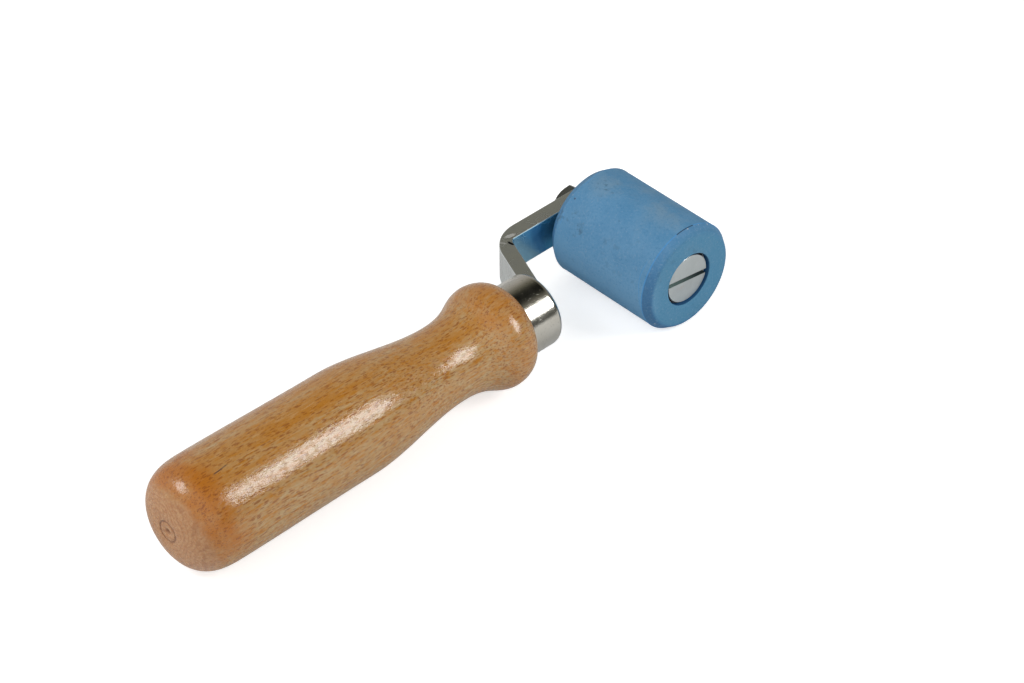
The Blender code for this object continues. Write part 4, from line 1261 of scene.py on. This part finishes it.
def grip_outline(sizes):
    """The wood's outline as (radius, distance back from its shoulder), down to the butt's flat."""
    length = wood_shoulder - butt_end
    points = []
    for step in range(QUARTER_STEPS + 1):
        turn = math.pi / 2 * step / QUARTER_STEPS
        points.append((sizes.shoulder_radius + (sizes.bulge_radius - sizes.shoulder_radius) * math.sin(turn),
                       sizes.bulge_at * (1 - math.cos(turn))))
    butt_start = length - sizes.butt_length
    stations = [(sizes.bulge_at, sizes.bulge_radius, 0.0),
                (sizes.flank_at, sizes.flank_radius, sizes.flank_slope),
                (sizes.neck_at, sizes.neck_radius, 0.0), (sizes.swell_at, sizes.swell_radius, 0.0),
                (butt_start, sizes.grip_radius, 0.0)]
    for first, last, steps in zip(stations, stations[1:], (10, 14, 32, 20)):
        points += smooth_run(first, last, steps)
    last_turn = math.acos((sizes.butt_flat / sizes.grip_radius) ** (sizes.butt_power / 2))
    power = 2 / sizes.butt_power
    for step in range(1, 29):
        turn = last_turn * step / 28
        points.append((sizes.grip_radius * math.cos(turn) ** power,
                       butt_start + sizes.butt_length * (math.sin(turn) / math.sin(last_turn)) ** power))
    return points


class BRAYER_OT_handle(bpy.types.Operator):
    """Turn the beech handle, with the lathe centre's ring and dimple on its butt"""

    bl_idname = "brayer.handle"
    bl_label = "Build wooden handle"

    def execute(self, context):
        sizes, _ = sizes_and_colours(context)
        spigot = ferrule_radius - sizes.ferrule_wall - GAP
        outline = [(0.0, spigot_front), (spigot - 0.4 * MM, spigot_front),
                   (spigot, spigot_front - 0.4 * MM), (spigot, wood_shoulder)]
        outline += [(radius, wood_shoulder - distance) for radius, distance in grip_outline(sizes)]
        ring = sizes.centre_ring
        marks = [(ring + 0.75 * MM, 0.0), (ring + 0.35 * MM, 0.02), (ring + 0.12 * MM, 0.22),
                 (ring - 0.10 * MM, 0.24), (ring - 0.35 * MM, 0.06), (ring - 0.8 * MM, 0.0),
                 (1.5 * MM, 0.02), (1.0 * MM, 0.15), (0.6 * MM, 0.55), (0.25 * MM, 0.8), (0.0, 0.85)]
        outline += [(radius, butt_end + depth * MM) for radius, depth in marks]
        handle = turned("beech_handle", outline, "Y", handle_line, sizes.round_steps, ring=False,
                        sharp=50.0)
        slot = bmesh.new()
        bmesh.ops.create_cube(slot, size=1.0)
        room = 2 * GAP
        size = (sizes.bar_thickness + room, sizes.tang_length + 4 * MM, 2 * bar_half_width + room)
        bmesh.ops.scale(slot, vec=size, verts=slot.verts)
        middle = (handle_x, spigot_front + 1.0 * MM - sizes.tang_length / 2, axle.z)
        bmesh.ops.translate(slot, verts=slot.verts, vec=middle)
        carve(handle, finish_shape("tang_slot", slot), sharp=50.0)
        settle(handle, "frame", "wood", bpy.data.materials["lacquered_beech"], "handle")
        return {"FINISHED"}


CAMERA_AZIMUTH, CAMERA_ELEVATION, CAMERA_ROLL = 47.06, 39.94, -0.60     # degrees
CAMERA_DISTANCE, CAMERA_RIGHT, CAMERA_UP = 0.96549, 0.03603, 0.02666    # metres, from the axle
CAMERA_LENS, CAMERA_SENSOR = 119.42, 36.0                               # millimetres
STAGE_RADIUS = 6.0
# name, azimuth and elevation in degrees, distance and size in metres, power in watts
SOFTBOXES = (("key_softbox", 126.0, 34.9, 0.90, (0.34, 0.39), 3.7),
             ("fill_softbox", -37.0, 43.0, 0.90, (0.34, 0.34), 2.4))
DARK_CEILING, DARK_WALL = (200.0, 66.0), (125.0, 9.0)                   # azimuth and elevation
# how near a direction is to the dark of the ceiling, and the room's colour there
ROOM_SHADES = ((0.30, 0.55, 0.55, 0.55), (0.676, 0.44, 0.42, 0.39), (0.865, 0.175, 0.165, 0.13),
               (0.925, 0.075, 0.072, 0.055), (0.960, 0.014, 0.015, 0.012), (1.0, 0.006, 0.006, 0.005))


class BRAYER_OT_stage(bpy.types.Operator):
    """Set the floor, the two softboxes, the studio's glow and the camera"""

    bl_idname = "brayer.stage"
    bl_label = "Build stage"

    def execute(self, context):
        shape = bmesh.new()
        bmesh.ops.create_circle(shape, cap_ends=True, segments=LATHE_STEPS, radius=STAGE_RADIUS)
        floor = finish_shape("studio_floor", shape)
        floor.data.materials.append(bpy.data.materials["studio_floor"])
        for softbox in SOFTBOXES:
            self.softbox(*softbox)
        self.glow(context)
        self.camera(context)
        context.scene.view_settings.view_transform = "Standard"
        return {"FINISHED"}

    def direction(self, azimuth, elevation):
        """Unit vector towards a light or camera; azimuth 0 is behind the handle, and 90 beyond the head."""
        turn, rise = math.radians(azimuth), math.radians(elevation)
        return Vector((math.sin(turn) * math.cos(rise), -math.cos(turn) * math.cos(rise), math.sin(rise)))

    def softbox(self, name, azimuth, elevation, distance, size, power):
        """A rectangular soft light aimed at the brayer."""
        light = bpy.data.lights.new(name, "AREA")
        light.shape = "RECTANGLE"
        light.size, light.size_y = size
        light.energy = power
        lamp = bpy.data.objects.new(name, light)
        away = self.direction(azimuth, elevation)
        lamp.location = Vector((0.0, 0.0, axle.z)) + away * distance
        lamp.rotation_euler = away.to_track_quat("Z", "Y").to_euler()
        bpy.context.scene.collection.objects.link(lamp)

    def glow(self, context):
        """Soft room light, darker above and beyond the roller, so that bright metal shows a dark band."""
        world = bpy.data.worlds.new("studio")
        world.use_nodes = True
        tree = world.node_tree
        way = add(tree, "ShaderNodeTexCoord").outputs["Generated"]
        way = add(tree, "ShaderNodeVectorMath", {0: way}, operation="NORMALIZE").outputs[0]
        dark_way = self.direction(*DARK_CEILING)
        near = add(tree, "ShaderNodeVectorMath", {0: way, 1: dark_way},
                   operation="DOT_PRODUCT").outputs["Value"]
        ramp = add(tree, "ShaderNodeValToRGB", {"Fac": near})
        while len(ramp.color_ramp.elements) < len(ROOM_SHADES):
            ramp.color_ramp.elements.new(0.5)
        for element, (position, *shade) in zip(ramp.color_ramp.elements, ROOM_SHADES):
            element.position = position
            element.color = (*shade, 1.0)
        parts = split(tree, way)
        behind = step_of(tree, parts[1], -0.05, -0.45)
        room = blend(tree, behind, ramp.outputs["Color"], (0.85, 0.85, 0.86))
        beyond = add(tree, "ShaderNodeVectorMath", {0: way, 1: self.direction(*DARK_WALL)},
                     operation="DOT_PRODUCT").outputs["Value"]
        band = times(tree, step_of(tree, beyond, 0.70, 0.88), step_of(tree, parts[2], -0.03, 0.08))
        room = blend(tree, band, room, (0.08, 0.08, 0.07))
        tree.links.new(room, tree.nodes["Background"].inputs["Color"])
        context.scene.world = world

    def camera(self, context):
        """The camera: a long lens from above the butt's side, rolled by about half a degree."""
        turn, roll = math.radians(CAMERA_AZIMUTH), math.radians(CAMERA_ROLL)
        back = self.direction(CAMERA_AZIMUTH, CAMERA_ELEVATION)
        right = Vector((math.cos(turn), math.sin(turn), 0.0))
        up = back.cross(right)
        rolled_right = right * math.cos(roll) + up * math.sin(roll)
        rolled_up = up * math.cos(roll) - right * math.sin(roll)
        camera = bpy.data.objects.new("camera", bpy.data.cameras.new("camera"))
        camera.data.sensor_width = CAMERA_SENSOR
        camera.data.lens = CAMERA_LENS
        camera.data.clip_start = 0.01
        aside = rolled_right * CAMERA_RIGHT + rolled_up * CAMERA_UP
        camera.location = axle + back * CAMERA_DISTANCE - aside
        camera.rotation_euler = Matrix((rolled_right, rolled_up, back)).transposed().to_euler()
        context.scene.collection.objects.link(camera)
        context.scene.camera = camera


OPERATORS = (BRAYER_OT_finishes, BRAYER_OT_tyre, BRAYER_OT_core, BRAYER_OT_bearings, BRAYER_OT_balls,
             BRAYER_OT_axle, BRAYER_OT_bracket, BRAYER_OT_ferrule, BRAYER_OT_handle, BRAYER_OT_stage)


class BRAYER_PT_panel(bpy.types.Panel):
    """Sidebar panel with every step and every value"""

    bl_idname = "BRAYER_PT_panel"
    bl_label = "Hand Brayer"
    bl_space_type = "VIEW_3D"
    bl_region_type = "UI"
    bl_category = "Brayer"

    def draw(self, context):
        """Lists the operators and the values they read."""
        layout = self.layout
        for operator in OPERATORS:
            layout.operator(operator.bl_idname)
        for group in sizes_and_colours(context):
            box = layout.box()
            for label in group.bl_rna.properties.keys():
                if label not in {"rna_type", "name"}:
                    box.prop(group, label)


CLASSES = (BrayerSizes, BrayerColours, *OPERATORS, BRAYER_PT_panel)


def register():
    """Registers the classes and hangs the values on the scene."""
    for item in CLASSES:
        bpy.utils.register_class(item)
    bpy.types.Scene.brayer_sizes = PointerProperty(type=BrayerSizes)
    bpy.types.Scene.brayer_colours = PointerProperty(type=BrayerColours)


def unregister():
    """Takes the values off the scene and the classes out."""
    del bpy.types.Scene.brayer_colours
    del bpy.types.Scene.brayer_sizes
    for item in reversed(CLASSES):
        bpy.utils.unregister_class(item)


def main():
    """Builds everything in order."""
    register()
    for operator in OPERATORS:
        group, step = operator.bl_idname.split(".")
        getattr(getattr(bpy.ops, group), step)()


if __name__ == "__main__":
    main()
